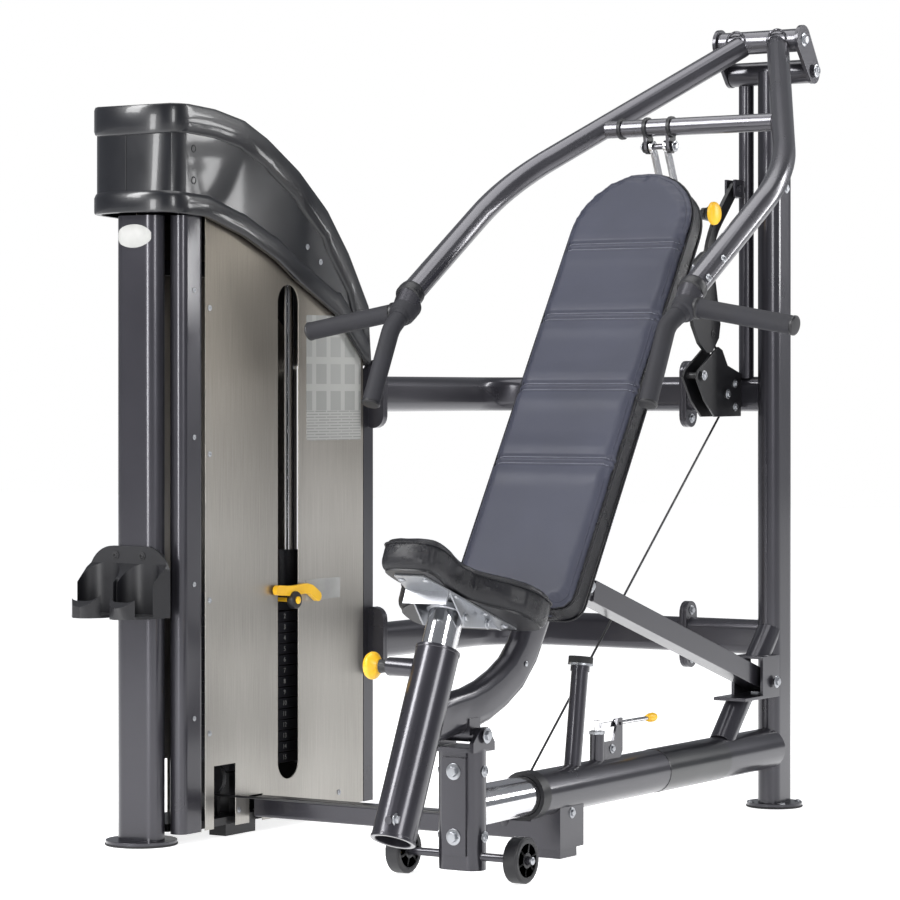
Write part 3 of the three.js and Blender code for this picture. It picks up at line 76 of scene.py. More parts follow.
def area_light(name, location, target, size, power, shape=None):
    data = bpy.data.lights.new(name, "AREA")
    data.energy = power
    data.size = size
    if shape:
        data.shape = "RECTANGLE"
        data.size_y = shape
    light = bpy.data.objects.new(name, data)
    light.location = location
    aim = Vector(target) - Vector(location)
    light.rotation_euler = aim.to_track_quat("-Z", "Y").to_euler()
    scene.collection.objects.link(light)


def make_stage():
    world = bpy.data.worlds.new("studio")
    world.use_nodes = True
    tree = world.node_tree
    room = tree.nodes["Background"]
    room.inputs["Color"].default_value = (0.9, 0.93, 1, 1)
    room.inputs["Strength"].default_value = 0.26
    white = tree.nodes.new("ShaderNodeBackground")
    white.inputs["Color"].default_value = (1, 1, 1, 1)
    white.inputs["Strength"].default_value = 1.0
    seen = tree.nodes.new("ShaderNodeLightPath")
    mix = tree.nodes.new("ShaderNodeMixShader")
    tree.links.new(seen.outputs["Is Camera Ray"], mix.inputs[0])
    tree.links.new(room.outputs[0], mix.inputs[1])
    tree.links.new(white.outputs[0], mix.inputs[2])
    tree.links.new(mix.outputs[0], tree.nodes["World Output"].inputs[0])
    scene.world = world
    area_light("key", (-2.6, -4.6, 4.0), (-0.3, -0.8, 0.9), 1.3, 210, 2.6)
    area_light("fill", (4.8, -3.4, 2.6), (0, -0.8, 0.9), 1.4, 120, 2.4)
    area_light("strip", (2.2, 2.6, 2.6), (0, -0.5, 1.2), 0.5, 60, 2.6)
    area_light("front", (-0.6, -6.5, 1.6), (-0.2, -0.8, 0.9), 1.0, 120, 2.4)
    area_light("top", (-0.2, -0.8, 4.6), (-0.2, -0.8, 0), 3.4, 90)
    bpy.ops.mesh.primitive_plane_add(size=40, location=(0, 0, -0.0005))
    floor = bpy.context.object
    floor.name = "floor"
    floor.data.materials.append(plain_floor())
    scene.view_settings.view_transform = "Standard"
    scene.view_settings.look = "None"


# ---------------------------------------------------------------- materials
def srgb(r, g, b):
    def lin(v):
        v /= 255
        return v / 12.92 if v <= 0.04045 else ((v + 0.055) / 1.055) ** 2.4
    return (lin(r), lin(g), lin(b), 1)


class Tree:
    """A small helper for node trees: each call adds one node."""

    def __init__(self, name):
        self.mat = bpy.data.materials.new(name)
        self.mat.use_nodes = True
        self.nodes = self.mat.node_tree.nodes
        self.links = self.mat.node_tree.links
        self.shader = self.nodes["Principled BSDF"]

    def add(self, kind, inputs=None, **settings):
        node = self.nodes.new(kind)
        for key, value in settings.items():
            setattr(node, key, value)
        for key, value in (inputs or {}).items():
            if isinstance(value, bpy.types.NodeSocket):
                self.links.new(value, node.inputs[key])
            else:
                node.inputs[key].default_value = value
        return node

    def coords(self, stretch=(1, 1, 1)):
        place = self.add("ShaderNodeTexCoord").outputs["Object"]
        return self.add("ShaderNodeMapping", {"Vector": place, "Scale": stretch}).outputs[0]

    def noise(self, scale, detail=3, stretch=(1, 1, 1), rough=0.5):
        return self.add("ShaderNodeTexNoise", {"Vector": self.coords(stretch), "Scale": scale,
                        "Detail": detail, "Roughness": rough}).outputs["Fac"]

    def ramp(self, fac, stops):
        node = self.add("ShaderNodeValToRGB", {"Fac": fac})
        band = node.color_ramp
        while len(band.elements) < len(stops):
            band.elements.new(0.5)
        for element, (at, color) in zip(band.elements, stops):
            element.position = at
            element.color = color
        return node.outputs["Color"]

    def span(self, fac, low, high, start=0.0, stop=1.0):
        return self.add("ShaderNodeMapRange", {"Value": fac, "From Min": start, "From Max": stop,
                        "To Min": low, "To Max": high}).outputs[0]

    def bump(self, height, distance, strength=1.0, normal=None):
        inputs = {"Height": height, "Distance": distance, "Strength": strength}
        if normal:
            inputs["Normal"] = normal
        return self.add("ShaderNodeBump", inputs).outputs[0]

    def feed(self, **sockets):
        for name, value in sockets.items():
            socket = self.shader.inputs[name.replace("_", " ")]
            if isinstance(value, bpy.types.NodeSocket):
                self.links.new(value, socket)
            else:
                socket.default_value = value
        return self.mat


def shade(color, factor):
    return tuple(min(1, c * factor) for c in color[:3]) + (1,)


def plain_floor():
    tree = Tree("floor_pale")
    fleck = tree.ramp(tree.noise(3), [(0.3, (0.86, 0.86, 0.86, 1)), (0.7, (0.9, 0.9, 0.9, 1))])
    return tree.feed(Base_Color=fleck, Roughness=0.6, Emission_Color=(1, 1, 1, 1), Emission_Strength=0.8)


def metal_paint(name, color, metallic, rough, coat=0.5):
    """Metallic powder coat: fine flake in the colour, slight orange peel, dull and rubbed patches."""
    tree = Tree(name)
    flake = tree.noise(2600, 1)
    cloud = tree.noise(5, 4)
    mixed = tree.add("ShaderNodeMix", {"Factor": tree.span(cloud, 0.25, 0.6), "A": flake, "B": cloud},
                     data_type="FLOAT")
    tint = tree.ramp(mixed.outputs[0], [(0.28, shade(color, 0.8)), (0.55, color),
                                        (0.8, shade(color, 1.3))])
    peel = tree.bump(tree.noise(420, 2), 0.00004, 0.3)
    return tree.feed(Base_Color=tint, Metallic=metallic, Normal=peel, Coat_Weight=coat,
                     Coat_Roughness=0.12, Roughness=tree.span(cloud, rough - 0.05, rough + 0.08))


def polished(name, color, rough=0.06):
    """Chrome with very fine wipe marks."""
    tree = Tree(name)
    marks = tree.noise(300, 3, (1, 1, 0.06))
    tint = tree.ramp(marks, [(0.3, shade(color, 0.9)), (0.7, color)])
    return tree.feed(Base_Color=tint, Metallic=1.0, Roughness=tree.span(marks, rough, rough + 0.1),
                     Normal=tree.bump(marks, 0.00002, 0.3))


def brushed(name):
    """Brushed sheet: vertical grain, a broad random change of tone across the sheet, and painted shade down it that
    darkens the upper sheet under the cover.
    """
    tree = Tree(name)
    grain = tree.noise(240, 3, (1, 4, 0.03), 0.6)
    fine = tree.noise(900, 2, (1, 1, 1))
    broad = tree.noise(1.3, 2, (1, 1.4, 0.7))
    both = tree.add("ShaderNodeMix", {"Factor": 0.35, "A": grain, "B": fine}, data_type="FLOAT")
    mixed = tree.add("ShaderNodeMix", {"Factor": 0.5, "A": both.outputs[0], "B": broad},
                     data_type="FLOAT")
    tint = tree.ramp(mixed.outputs[0], [(0.33, srgb(150, 147, 142)), (0.5, srgb(184, 181, 175)),
                                        (0.68, srgb(214, 211, 206))])
    # painted shade: the sheet's colour is multiplied darker towards the top, where the cover shades the panel, with a
    # lighter band at mid height
    split = tree.add("ShaderNodeSeparateXYZ", {0: tree.add("ShaderNodeTexCoord").outputs["Object"]})
    painted_shade_by_height = tree.ramp(tree.span(split.outputs[2], 0, 1, 0.1, 1.45),
                     [(0.0, (0.86, 0.86, 0.86, 1)), (0.45, (0.95, 0.94, 0.93, 1)), (0.75, (0.62, 0.59, 0.55, 1)),
                      (1.0, (0.42, 0.39, 0.35, 1))])
    painted_shade_mix = tree.add("ShaderNodeMix", {"Factor": 1.0, "A": tint, "B": painted_shade_by_height}, data_type="RGBA",
                     blend_type="MULTIPLY")
    tint = painted_shade_mix.outputs[2]
    return tree.feed(Base_Color=tint, Metallic=1.0, Roughness=tree.span(grain, 0.3, 0.46),
                     Anisotropic=0.5, Normal=tree.bump(both.outputs[0], 0.00004, 0.5))


def vinyl(name, color, rough, grain=0.00035, cells=700):
    """Upholstery vinyl: leather grain from cells, soft creases and slow changes of tone."""
    tree = Tree(name)
    cell = tree.add("ShaderNodeTexVoronoi", {"Vector": tree.coords(), "Scale": cells},
                    feature="DISTANCE_TO_EDGE").outputs["Distance"]
    pebble = tree.span(cell, 0, 1, 0, 0.12)
    crease = tree.noise(26, 5)
    slow = tree.noise(4.5, 2)
    tint = tree.ramp(slow, [(0.3, shade(color, 0.86)), (0.7, shade(color, 1.12))])
    soft = tree.bump(crease, 0.0012, 0.3)
    return tree.feed(Base_Color=tint, Roughness=tree.span(crease, rough - 0.06, rough + 0.1),
                     Normal=tree.bump(pebble, grain, 0.45, soft), Specular_IOR_Level=0.36)


def moulded(name, color, rough, fine=1400, depth=0.0001, coat=0.0):
    """Moulded plastic or rubber with a fine grain and faint handling marks."""
    tree = Tree(name)
    grain = tree.noise(fine, 2)
    smear = tree.noise(14, 4)
    tint = tree.ramp(smear, [(0.3, shade(color, 0.85)), (0.7, shade(color, 1.2))])
    return tree.feed(Base_Color=tint, Roughness=tree.span(smear, rough - 0.05, rough + 0.07),
                     Normal=tree.bump(grain, depth, 0.5), Coat_Weight=coat, Coat_Roughness=0.06)


def cast(name, color):
    tree = Tree(name)
    pits = tree.noise(340, 5)
    tint = tree.ramp(pits, [(0.3, shade(color, 0.7)), (0.7, shade(color, 1.4))])
    return tree.feed(Base_Color=tint, Metallic=0.3, Roughness=tree.span(pits, 0.4, 0.62),
                     Normal=tree.bump(pits, 0.0003, 0.6))


def placard():
    """Pale placard with rows of small blank boxes, where the real one has pictures."""
    tree = Tree("placard")
    split = tree.add("ShaderNodeSeparateXYZ", {0: tree.add("ShaderNodeTexCoord").outputs["Object"]})
    plane = tree.add("ShaderNodeCombineXYZ", {0: split.outputs[1], 1: split.outputs[2]})
    brick = tree.add("ShaderNodeTexBrick", {"Vector": plane.outputs[0], "Scale": 1.0,
                     "Mortar Size": 0.009, "Brick Width": 0.062, "Row Height": 0.066,
                     "Color1": srgb(138, 139, 136), "Color2": srgb(147, 148, 145),
                     "Mortar": srgb(160, 160, 157)}, offset=0.0)
    lines = tree.add("ShaderNodeTexBrick", {"Vector": plane.outputs[0], "Scale": 1.0,
                     "Mortar Size": 0.0022, "Brick Width": 0.05, "Row Height": 0.007,
                     "Color1": srgb(130, 130, 128), "Color2": srgb(140, 140, 138),
                     "Mortar": srgb(160, 160, 157)}, offset=0.3)
    below = tree.add("ShaderNodeMath", {0: split.outputs[2], 1: 1.0}, operation="LESS_THAN")
    both = tree.add("ShaderNodeMix", {"Factor": below.outputs[0], "A": brick.outputs[0],
                    "B": lines.outputs[0]}, data_type="RGBA")
    return tree.feed(Base_Color=both.outputs[2], Roughness=0.35, Metallic=0.2)


MATS = {
    "frame_paint": metal_paint("frame_paint", srgb(56, 55, 61), 0.6, 0.28),
    "arm_paint": metal_paint("arm_paint", srgb(88, 87, 92), 0.8, 0.27),
    "black_steel": metal_paint("black_steel", srgb(18, 18, 21), 0.3, 0.4, 0.2),
    "chrome": polished("chrome", srgb(226, 226, 228)),
    "zinc": polished("zinc", srgb(172, 174, 178), 0.3),
    "panel_steel": brushed("panel_steel"),
    "cover_plastic": moulded("cover_plastic", srgb(11, 12, 17), 0.3, 900, 0.00005, 0.35),
    "black_plastic": moulded("black_plastic", srgb(16, 16, 20), 0.42),
    "grip_rubber": moulded("grip_rubber", srgb(27, 27, 33), 0.7, 1900, 0.00025),
    "foot_rubber": moulded("foot_rubber", srgb(26, 26, 28), 0.7),
    "back_vinyl": vinyl("back_vinyl", srgb(54, 56, 69), 0.33),
    "seat_vinyl": vinyl("seat_vinyl", srgb(14, 14, 19), 0.27),
    "yellow_plastic": moulded("yellow_plastic", srgb(245, 186, 34), 0.35),
    "stack_iron": cast("stack_iron", srgb(40, 40, 45)),
    "cable_nylon": moulded("cable_nylon", srgb(22, 22, 24), 0.4),
    "thread": moulded("thread", srgb(158, 160, 170), 0.8, 2600, 0.0002),
    "label_white": moulded("label_white", srgb(158, 158, 156), 0.5),
    "placard": placard(),
}


def dress_nodes():
    """Gives each CAD node its slot's material, smooth faces and softened edges."""
    slots = {row["node"]: row["material_slot"] for row in frame["record"]["subparts"]}
    for name, node in NODES.items():
        mesh = node.data
        mesh.materials.clear()
        mesh.materials.append(MATS[slots[name]])
        if "custom_normal" in mesh.attributes:
            mesh.attributes.remove(mesh.attributes["custom_normal"])
        mesh.shade_smooth()
        weld = node.modifiers.new("weld", "WELD")
        weld.merge_threshold = 0.00002
        edge = node.modifiers.new("edge", "BEVEL")
        edge.width = 0.0011
        edge.segments = 2
        edge.limit_method = "ANGLE"
        edge.angle_limit = math.radians(38)
        edge.use_clamp_overlap = True
        normal = node.modifiers.new("normal", "WEIGHTED_NORMAL")
        normal.weight = 60


# ---------------------------------------------------------------- mesh helpers
def frame_of(axis):
    axis = Vector(axis).normalized()
    side = axis.orthogonal().normalized()
    return side, axis.cross(side).normalized(), axis


class Piece:
    """Collects closed shapes of one material on one body, then becomes one object."""

    def __init__(self, name, body, mat, slot=None):
        self.name, self.body, self.mat, self.slot = name, body, mat, slot or mat
        self.verts, self.faces = [], []

    def ring_mesh(self, rings, cap=True, loop=False):
        count = len(rings[0])
        base = len(self.verts)
        for ring in rings:
            self.verts.extend(ring)
        pairs = [(i, i + 1) for i in range(len(rings) - 1)]
        if loop:
            pairs.append((len(rings) - 1, 0))
        for a, b in pairs:
            for j in range(count):
                k = (j + 1) % count
                self.faces.append((base + a * count + j, base + a * count + k,
                                   base + b * count + k, base + b * count + j))
        if cap and not loop:
            self.faces.append(tuple(base + j for j in reversed(range(count))))
            last = base + (len(rings) - 1) * count
            self.faces.append(tuple(last + j for j in range(count)))
        return self

    def lathe(self, at, axis, profile, sides=28, turn=0.0):
        """profile is (radius, height along the axis) in millimetres."""
        u, v, w = frame_of(axis)
        rings = []
        for r, h in profile:
            ring = []
            for j in range(sides):
                a = 2 * math.pi * j / sides + turn
                ring.append(at + (u * math.cos(a) + v * math.sin(a)) * max(r, 0.01) * MM + w * h * MM)
            rings.append(ring)
        return self.ring_mesh(rings)

    def bolt(self, at, axis, r=9.0, h=7.0):
        """Washer, hexagon head and a slightly domed top."""
        self.lathe(at, axis, [(r * 1.55, 0), (r * 1.55, 1.2), (r * 1.45, 1.8), (r * 0.9, 1.8)])
        self.lathe(at, axis, [(r, 1.6), (r, h - 1.2), (r * 0.86, h), (r * 0.5, h + 0.2)], 6)
        return self

    def dome(self, at, axis, r=9.0, h=6.0):
        """Washer and a button head with a socket."""
        self.lathe(at, axis, [(r * 1.4, 0), (r * 1.4, 1.2), (r * 1.3, 1.7), (r * 0.9, 1.7)])
        self.lathe(at, axis, [(r, 1.5), (r * 0.98, h * 0.5), (r * 0.8, h * 0.85), (r * 0.45, h),
                              (r * 0.42, h - 0.2), (r * 0.38, h - 2.2)])
        return self

    def tube(self, points, r, sides=14, loop=False):
        points = [Vector(p) for p in points]
        count = len(points)
        rings = []
        side = None
        for i, p in enumerate(points):
            if loop:
                along = points[(i + 1) % count] - points[i - 1]
            else:
                along = points[min(i + 1, count - 1)] - points[max(i - 1, 0)]
            along.normalize()
            if side is None:
                side = along.orthogonal().normalized()
            side = (side - along * side.dot(along)).normalized()
            up = along.cross(side)
            size = r[i] if isinstance(r, (list, tuple)) else r
            rings.append([p + (side * math.cos(a) + up * math.sin(a)) * size * MM
                          for a in [2 * math.pi * j / sides for j in range(sides)]])
        return self.ring_mesh(rings, loop=loop)

    def slab(self, outline, place, low, high):
        """A flat outline pushed from low to high; place(u, v, w) gives the point."""
        rings = [[place(u, v, low) for u, v in outline], [place(u, v, high) for u, v in outline]]
        return self.ring_mesh(rings)

    def finish(self, bevel=0.0, subdivide=0, smooth=True, angle=35, blend=None):
        mesh = bpy.data.meshes.new(self.name)
        mesh.from_pydata([tuple(v) for v in self.verts], [], self.faces)
        work = bmesh.new()
        work.from_mesh(mesh)
        bmesh.ops.recalc_face_normals(work, faces=work.faces)
        work.to_mesh(mesh)
        work.free()
        obj = bpy.data.objects.new(self.name, mesh)
        scene.collection.objects.link(obj)
        mesh.materials.append(MATS[self.mat])
        if smooth:
            mesh.shade_smooth()
            if not subdivide:
                mesh.set_sharp_from_angle(angle=math.radians(angle))
        if bevel:
            edge = obj.modifiers.new("edge", "BEVEL")
            edge.width = bevel * MM
            edge.segments = 2
            edge.limit_method = "ANGLE"
            edge.angle_limit = math.radians(35)
        if subdivide:
            more = obj.modifiers.new("more", "SUBSURF")
            more.levels = more.render_levels = subdivide
        self.slot if self.slot in SLOTS else "black_plastic"
        if blend:
            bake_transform(obj)
        else:
            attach(obj, self.body)
        return obj


SLOTS = {row["slot"] for row in frame["record"]["materials"]}


# ---------------------------------------------------------------- soft pads
def soft_copy(node, name, mat, voxel, shrink):
    """A remeshed copy of a CAD pad, slightly smaller, ready to be inflated."""
    source = NODES[node]
    mesh = source.data.copy()
    mesh.materials.clear()
    obj = bpy.data.objects.new(name, mesh)
    scene.collection.objects.link(obj)
    work = bmesh.new()
    work.from_mesh(mesh)
    bmesh.ops.remove_doubles(work, verts=work.verts, dist=0.00002)
    bmesh.ops.recalc_face_normals(work, faces=work.faces)
    work.to_mesh(mesh)
    work.free()
    modifier = obj.modifiers.new("remesh", "REMESH")
    modifier.mode = "VOXEL"
    modifier.voxel_size = voxel
    smooth = obj.modifiers.new("round", "SMOOTH")
    smooth.factor = 0.5
    smooth.iterations = 9
    bake(obj)
    mesh = obj.data
    mesh.materials.append(MATS[mat])
    for vertex in mesh.vertices:
        vertex.co -= vertex.normal * shrink
    mesh.shade_smooth()
    return obj


def bake(obj):
    """Applies every modifier to the mesh."""
    graph = bpy.context.evaluated_depsgraph_get()
    mesh = bpy.data.meshes.new_from_object(obj.evaluated_get(graph))
    obj.modifiers.clear()
    obj.data = mesh


def inflate(obj, pinned, cap, pressure=4.0, steps=20):
    """Cloth under air pressure; points where pinned(co) is true stay, none moves beyond cap."""
    rest = [v.co.copy() for v in obj.data.vertices]
    normals = [v.normal.copy() for v in obj.data.vertices]
    group = obj.vertex_groups.new(name="pin")
    group.add([i for i, co in enumerate(rest) if pinned(co)], 1.0, "REPLACE")
    cloth = obj.modifiers.new("cloth", "CLOTH")
    settings = cloth.settings
    settings.quality = 4
    settings.mass = 0.3
    settings.tension_stiffness = 18
    settings.compression_stiffness = 18
    settings.shear_stiffness = 6
    settings.bending_stiffness = 0.6
    settings.use_pressure = True
    settings.uniform_pressure_force = pressure
    settings.vertex_group_mass = "pin"
    settings.effector_weights.gravity = 0
    cloth.collision_settings.use_collision = False
    cloth.point_cache.frame_start = 1
    cloth.point_cache.frame_end = steps
    for step in range(1, steps + 1):
        scene.frame_set(step)
    bake(obj)
    scene.frame_set(1)
    obj.vertex_groups.clear()
    for vertex, before, normal in zip(obj.data.vertices, rest, normals):
        moved = vertex.co - before
        out = moved.dot(normal)
        moved = (moved - normal * out) * SLIDE + normal * (out if out > 0 else out * SLIDE)
        if moved.length > cap:
            moved *= cap / moved.length
        vertex.co = before + moved


SLIDE = 0.2                              # how much of a pad's sideways and inward travel is kept


def subdivide(obj):
    more = obj.modifiers.new("more", "SUBSURF")
    more.levels = more.render_levels = 1
    bake(obj)
    obj.data.shade_smooth()


def settle(obj, factor, iterations):
    smooth = obj.modifiers.new("round", "SMOOTH")
    smooth.factor = factor
    smooth.iterations = iterations
    bake(obj)


BACK_FACE = mm(0, -872, 1250)
BACK_UP = Vector((0, 0.5406, 0.8413))
BACK_OUT = Vector((0, -0.8413, 0.5406))
BACK_HALF = 161
BACK_LOW = -802.4
BACK_HIGH = 375.6


def back_point(u, v, w):
    """Across, up the face and out of it, in millimetres."""
    return BACK_FACE + Vector((u * MM, 0, 0)) + BACK_UP * v * MM + BACK_OUT * w * MM


def back_outline(inset, steps=26, corner=40):
    half = BACK_HALF - inset
    top = BACK_HIGH - BACK_HALF
    low = BACK_LOW + inset
    corner = max(corner - inset, 6)
    points = []
    for i in range(steps + 1):
        a = math.pi * i / steps
        points.append((half * math.cos(a), top + half * math.sin(a)))
    for i in range(1, 24):
        points.append((-half, top + (low + corner - top) * i / 24))
    for side, start in ((-1, math.pi), (1, math.pi * 1.5)):
        for i in range(8):
            a = start + math.pi / 2 * i / 7
            points.append((side * (half - corner) + corner * math.cos(a), low + corner + corner * math.sin(a)))
    for i in range(1, 24):
        points.append((half, low + corner + (top - low - corner) * i / 24))
    return points


BACK_SEAMS = (158, -38, -231, -428)      # distances up the face of the four sewn channels
STITCH_OFF = 8.0                         # each seam is two stitched lines this far either side
CHANNEL = 4.2                            # half-width of a stitched groove
CHANNEL_DEPTH = 5.5


def backrest():
    pad = soft_copy("backrest_pad", "back_cushion", "back_vinyl", 0.006, 0.0015)
    back_plane = -62 * MM

    def depth(co):
        return (co - BACK_FACE).dot(BACK_OUT)

    inflate(pad, lambda co: depth(co) < back_plane, 0.009)
    settle(pad, 0.5, 3)
    subdivide(pad)
    black = len(pad.data.materials)
    pad.data.materials.append(MATS["seat_vinyl"])
    for vertex in pad.data.vertices:
        offset = vertex.co - BACK_FACE
        v = offset.dot(BACK_UP) / MM
        if offset.dot(BACK_OUT) > -30 * MM:
            pull = sum(math.exp(-((abs(v - seam) - STITCH_OFF) / CHANNEL) ** 2) for seam in BACK_SEAMS)
            swell = sum(math.exp(-((abs(v - seam) - 36) / 22) ** 2) for seam in BACK_SEAMS)
            front = max(0.0, min(1.0, (offset.dot(BACK_OUT) / MM + 20) / 16))
            pucker = 1 + 0.14 * math.sin(vertex.co.x / MM * 0.55)
            vertex.co -= BACK_OUT * (pull * CHANNEL_DEPTH * pucker - swell * 2.6) * MM * front
    for face in pad.data.polygons:
        if face.normal.dot(BACK_OUT) < 0.25:
            face.material_index = black
    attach(pad, "bench")
    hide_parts("backrest_pad")

    piping = Piece("back_piping", "bench", "seat_vinyl")
    piping.tube([back_point(u, v, -15) for u, v in back_outline(1.5)], 2.4, 12, True)
    piping.tube([back_point(u, v, -60) for u, v in back_outline(1)], 2.6, 10, True)
    piping.finish()

    border = Piece("back_border", "bench", "back_vinyl")
    border.tube([back_point(u, v, front_of(pad, u, v)) for u, v in back_outline(15, 40)], 1.4, 8, True)
    border.finish()

    stitches = Piece("back_stitches", "bench", "thread", "back_vinyl")
    for seam in BACK_SEAMS:
        for off in (-STITCH_OFF, STITCH_OFF):
            for i in range(-26, 27):
                u = i * 5.6
                lift = [front_of(pad, u + d, seam + off) + 0.25 for d in (-1.9, 0, 1.9)]
                stitches.tube([back_point(u + d, seam + off, w) for d, w in
                               zip((-1.9, 0, 1.9), (lift[0] - 0.5, lift[1] + 0.2, lift[2] - 0.5))], 0.55, 6)
    stitches.finish()


def front_of(pad, u, v):
    """How far out of the face the finished cushion's surface is at (u, v), in millimetres."""
    start = back_point(u, v, 60)
    hit, place, _, _ = pad.ray_cast(start, -BACK_OUT)
    return (place - BACK_FACE).dot(BACK_OUT) / MM if hit else 0.0


SEAT_AXIS = Vector((0, 0.41283, 0.91081))
SEAT_ALONG = Vector((0, 0.91081, -0.41283))
SEAT_TOP = mm(0, -1584, 496)


def seat_point(x, along, up):
    return SEAT_TOP + Vector((x * MM, 0, 0)) + SEAT_ALONG * along * MM + SEAT_AXIS * up * MM


def bezier(p0, p1, p2, p3, steps):
    for i in range(1, steps + 1):
        t = i / steps
        s = 1 - t
        yield tuple(s ** 3 * a + 3 * s * s * t * b + 3 * s * t * t * c + t ** 3 * d
                    for a, b, c, d in zip(p0, p1, p2, p3))


def seat_outline(inset):
    half = [(0, -210)]
    for curve in (((0, -210), (48, -210), (74, -206), (74, -160)),
                  ((74, -160), (74, -110), (62, -110), (64, -66)),
                  ((64, -66), (68, 0), (172, 0), (177, 84)),
                  ((177, 84), (180, 148), (160, 164), (90, 166))):
        half.extend(bezier(*curve, 10))
    half += [(60, 166), (30, 166)]
    loop = half + [(0, 166)] + [(-x, y) for x, y in reversed(half[1:])]
    points = []
    count = len(loop)
    for i in range(count):
        ax, ay = loop[i - 1]
        bx, by = loop[(i + 1) % count]
        length = math.hypot(bx - ax, by - ay)
        nx, ny = (by - ay) / length, -(bx - ax) / length
        points.append((loop[i][0] - nx * inset, loop[i][1] - ny * inset))
    return points


def seat():
    pad = soft_copy("seat_pad", "seat_cushion", "seat_vinyl", 0.005, 0.002)
    floor = 118 * MM

    def height(co):
        return (co - SEAT_TOP).dot(SEAT_AXIS)

    inflate(pad, lambda co: height(co) < floor, 0.009)
    settle(pad, 0.5, 3)
    subdivide(pad)
    for vertex in pad.data.vertices:
        offset = vertex.co - SEAT_TOP
        along = offset.dot(SEAT_ALONG) / MM
        up = offset.dot(SEAT_AXIS) / MM
        if up > 150:
            across = abs(vertex.co.x) / MM
            dish = 7 * math.exp(-(across / 80) ** 2) * math.exp(-((along - 70) / 90) ** 2)
            vertex.co -= SEAT_AXIS * dish * MM * min(1, (up - 150) / 20)
    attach(pad, "seat")
    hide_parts("seat_pad")
    piping = Piece("seat_piping", "seat", "seat_vinyl")
    piping.tube([seat_point(x, y, 163) for x, y in seat_outline(2.5)], 2.2, 10, True)
    piping.finish()
    board = Piece("seat_board", "seat", "black_plastic")
    outline = seat_outline(16)
    board.slab(outline, lambda u, v, w: seat_point(u, v, w), 104.5, 109)
    board.finish()


# ---------------------------------------------------------------- press arm details
ARM_LOW = mm(366, -1136, 1262)
ARM_BACK = (mm(374, -690, 1542) - ARM_LOW).normalized()


def side_of(point, side):
    return Vector((point.x * side, point.y, point.z))


def press_arm():
    zinc = Piece("arm_bolts", "press_arm", "zinc")
    for side in (-1, 1):
        zinc.dome(mm(side * 126, -16, 1848), (side, 0, 0), 12, 7)
        zinc.bolt(mm(side * 119, -73, 1921), (side, 0, 0), 11, 9)
        for y, z in ((-1028, 1331), (-1098, 1287)):
            at = mm(side * 366, y, z)
            out = Vector((side, -0.1, 0.25)).normalized()
            foot = Vector((side * 367 * MM, y * MM, z * MM)) + out * 27 * MM
            zinc.dome(foot, out, 6.5, 5)
    zinc.bolt(mm(-87 - 42, -443, 1640), (-1, 0, 0), 9, 7)
    zinc.bolt(mm(-87 + 42, -443, 1640), (1, 0, 0), 9, 7)
    zinc.finish()

    caps = Piece("arm_trim", "press_arm", "black_plastic")
    for side in (-1, 1):
        low = side_of(ARM_LOW, side)
        back = side_of(ARM_BACK, side)
        caps.lathe(low - back * 2 * MM, back, [(28.6, 0), (31.5, 2), (32.0, 16), (30.8, 26), (28.4, 29)], 36)
        a, b = mm(side * 386, -1150, 1228), mm(side * 628, -1152, 1186)
        along = (b - a).normalized()
        caps.lathe(b - along * 5 * MM, along, [(21.4, 0), (22.0, 1.5), (22.0, 5), (19.5, 7.4), (9, 8.2)], 30)
        caps.lathe(a + along * 2 * MM, along, [(20, 0), (24.0, 2), (24.5, 8), (21.4, 13)], 30)
        a, b = mm(side * 356, -1222, 1188), mm(side * 355, -1308, 1018)
        along = (b - a).normalized()
        caps.lathe(b - along * 5 * MM, along, [(21.4, 0), (22.0, 1.5), (22.0, 5), (19.5, 7.4), (9, 8.2)], 30)
    for x in (-192, -122, -56):
        caps.lathe(mm(x, -450, 1686), (1, 0, 0), [(21.7, 0), (25.5, 1.2), (26, 4), (25.5, 10), (21.7, 11)], 36)
    for x in (-122.5, -60.5):
        caps.slab([(-457, 1666), (-458, 1632), (-450, 1623), (-436, 1623), (-428, 1632), (-427, 1664)],
                  lambda u, v, w: mm(w, u, v), x, x + 9)
    caps.finish()
    sleeve = Piece("hub_sleeves", "press_arm", "grip_rubber")
    for side in (-1, 1):
        hub = mm(side * 366, -1150, 1232)
        back = side_of(ARM_BACK, side)
        sleeve.lathe(hub + back * 26 * MM, -back, [(30.2, 0), (31, 3), (31.4, 20), (31, 40), (27, 52), (17, 59), (5, 61)], 36)
        a = mm(side * 386, -1150, 1228)
        sleeve.tube([hub, hub.lerp(a, 0.6), a, a + (a - hub).normalized() * 18 * MM], [25, 25, 23.5, 21.6], 28)
        b = mm(side * 356, -1222, 1188)
        sleeve.tube([hub, hub.lerp(b, 0.3), hub.lerp(b, 0.5)], [27, 24, 21.6], 28)
    sleeve.finish()

    weld = Piece("arm_welds", "press_arm", "arm_paint")
    for side in (-1, 1):
        ring = []
        for i in range(40):
            a = 2 * math.pi * i / 40
            x = 46 + 5 + 26 * math.cos(a)
            wobble = 1 + 0.05 * math.sin(9 * a)
            ring.append(mm(side * (x + 6), -73 - 27 * wobble, 1919 + 28 * math.sin(a)))
        weld.tube(ring, 3.4, 8, True)
    weld.finish()


def push_rod():
    zinc = Piece("rod_nuts", "push_rod", "zinc")
    top, low = mm(-87, -443, 1640), mm(-87, -308, 1345)
    down = (low - top).normalized()
    length = (low - top).length / MM
    zinc.lathe(top + down * 127 * MM, down, [(13, 0), (13, 11), (11, 12)], 6)
    zinc.lathe(top + down * (length - 74) * MM, down, [(13, 0), (13, 11), (11, 12)], 6)
    zinc.finish(bevel=0.6)


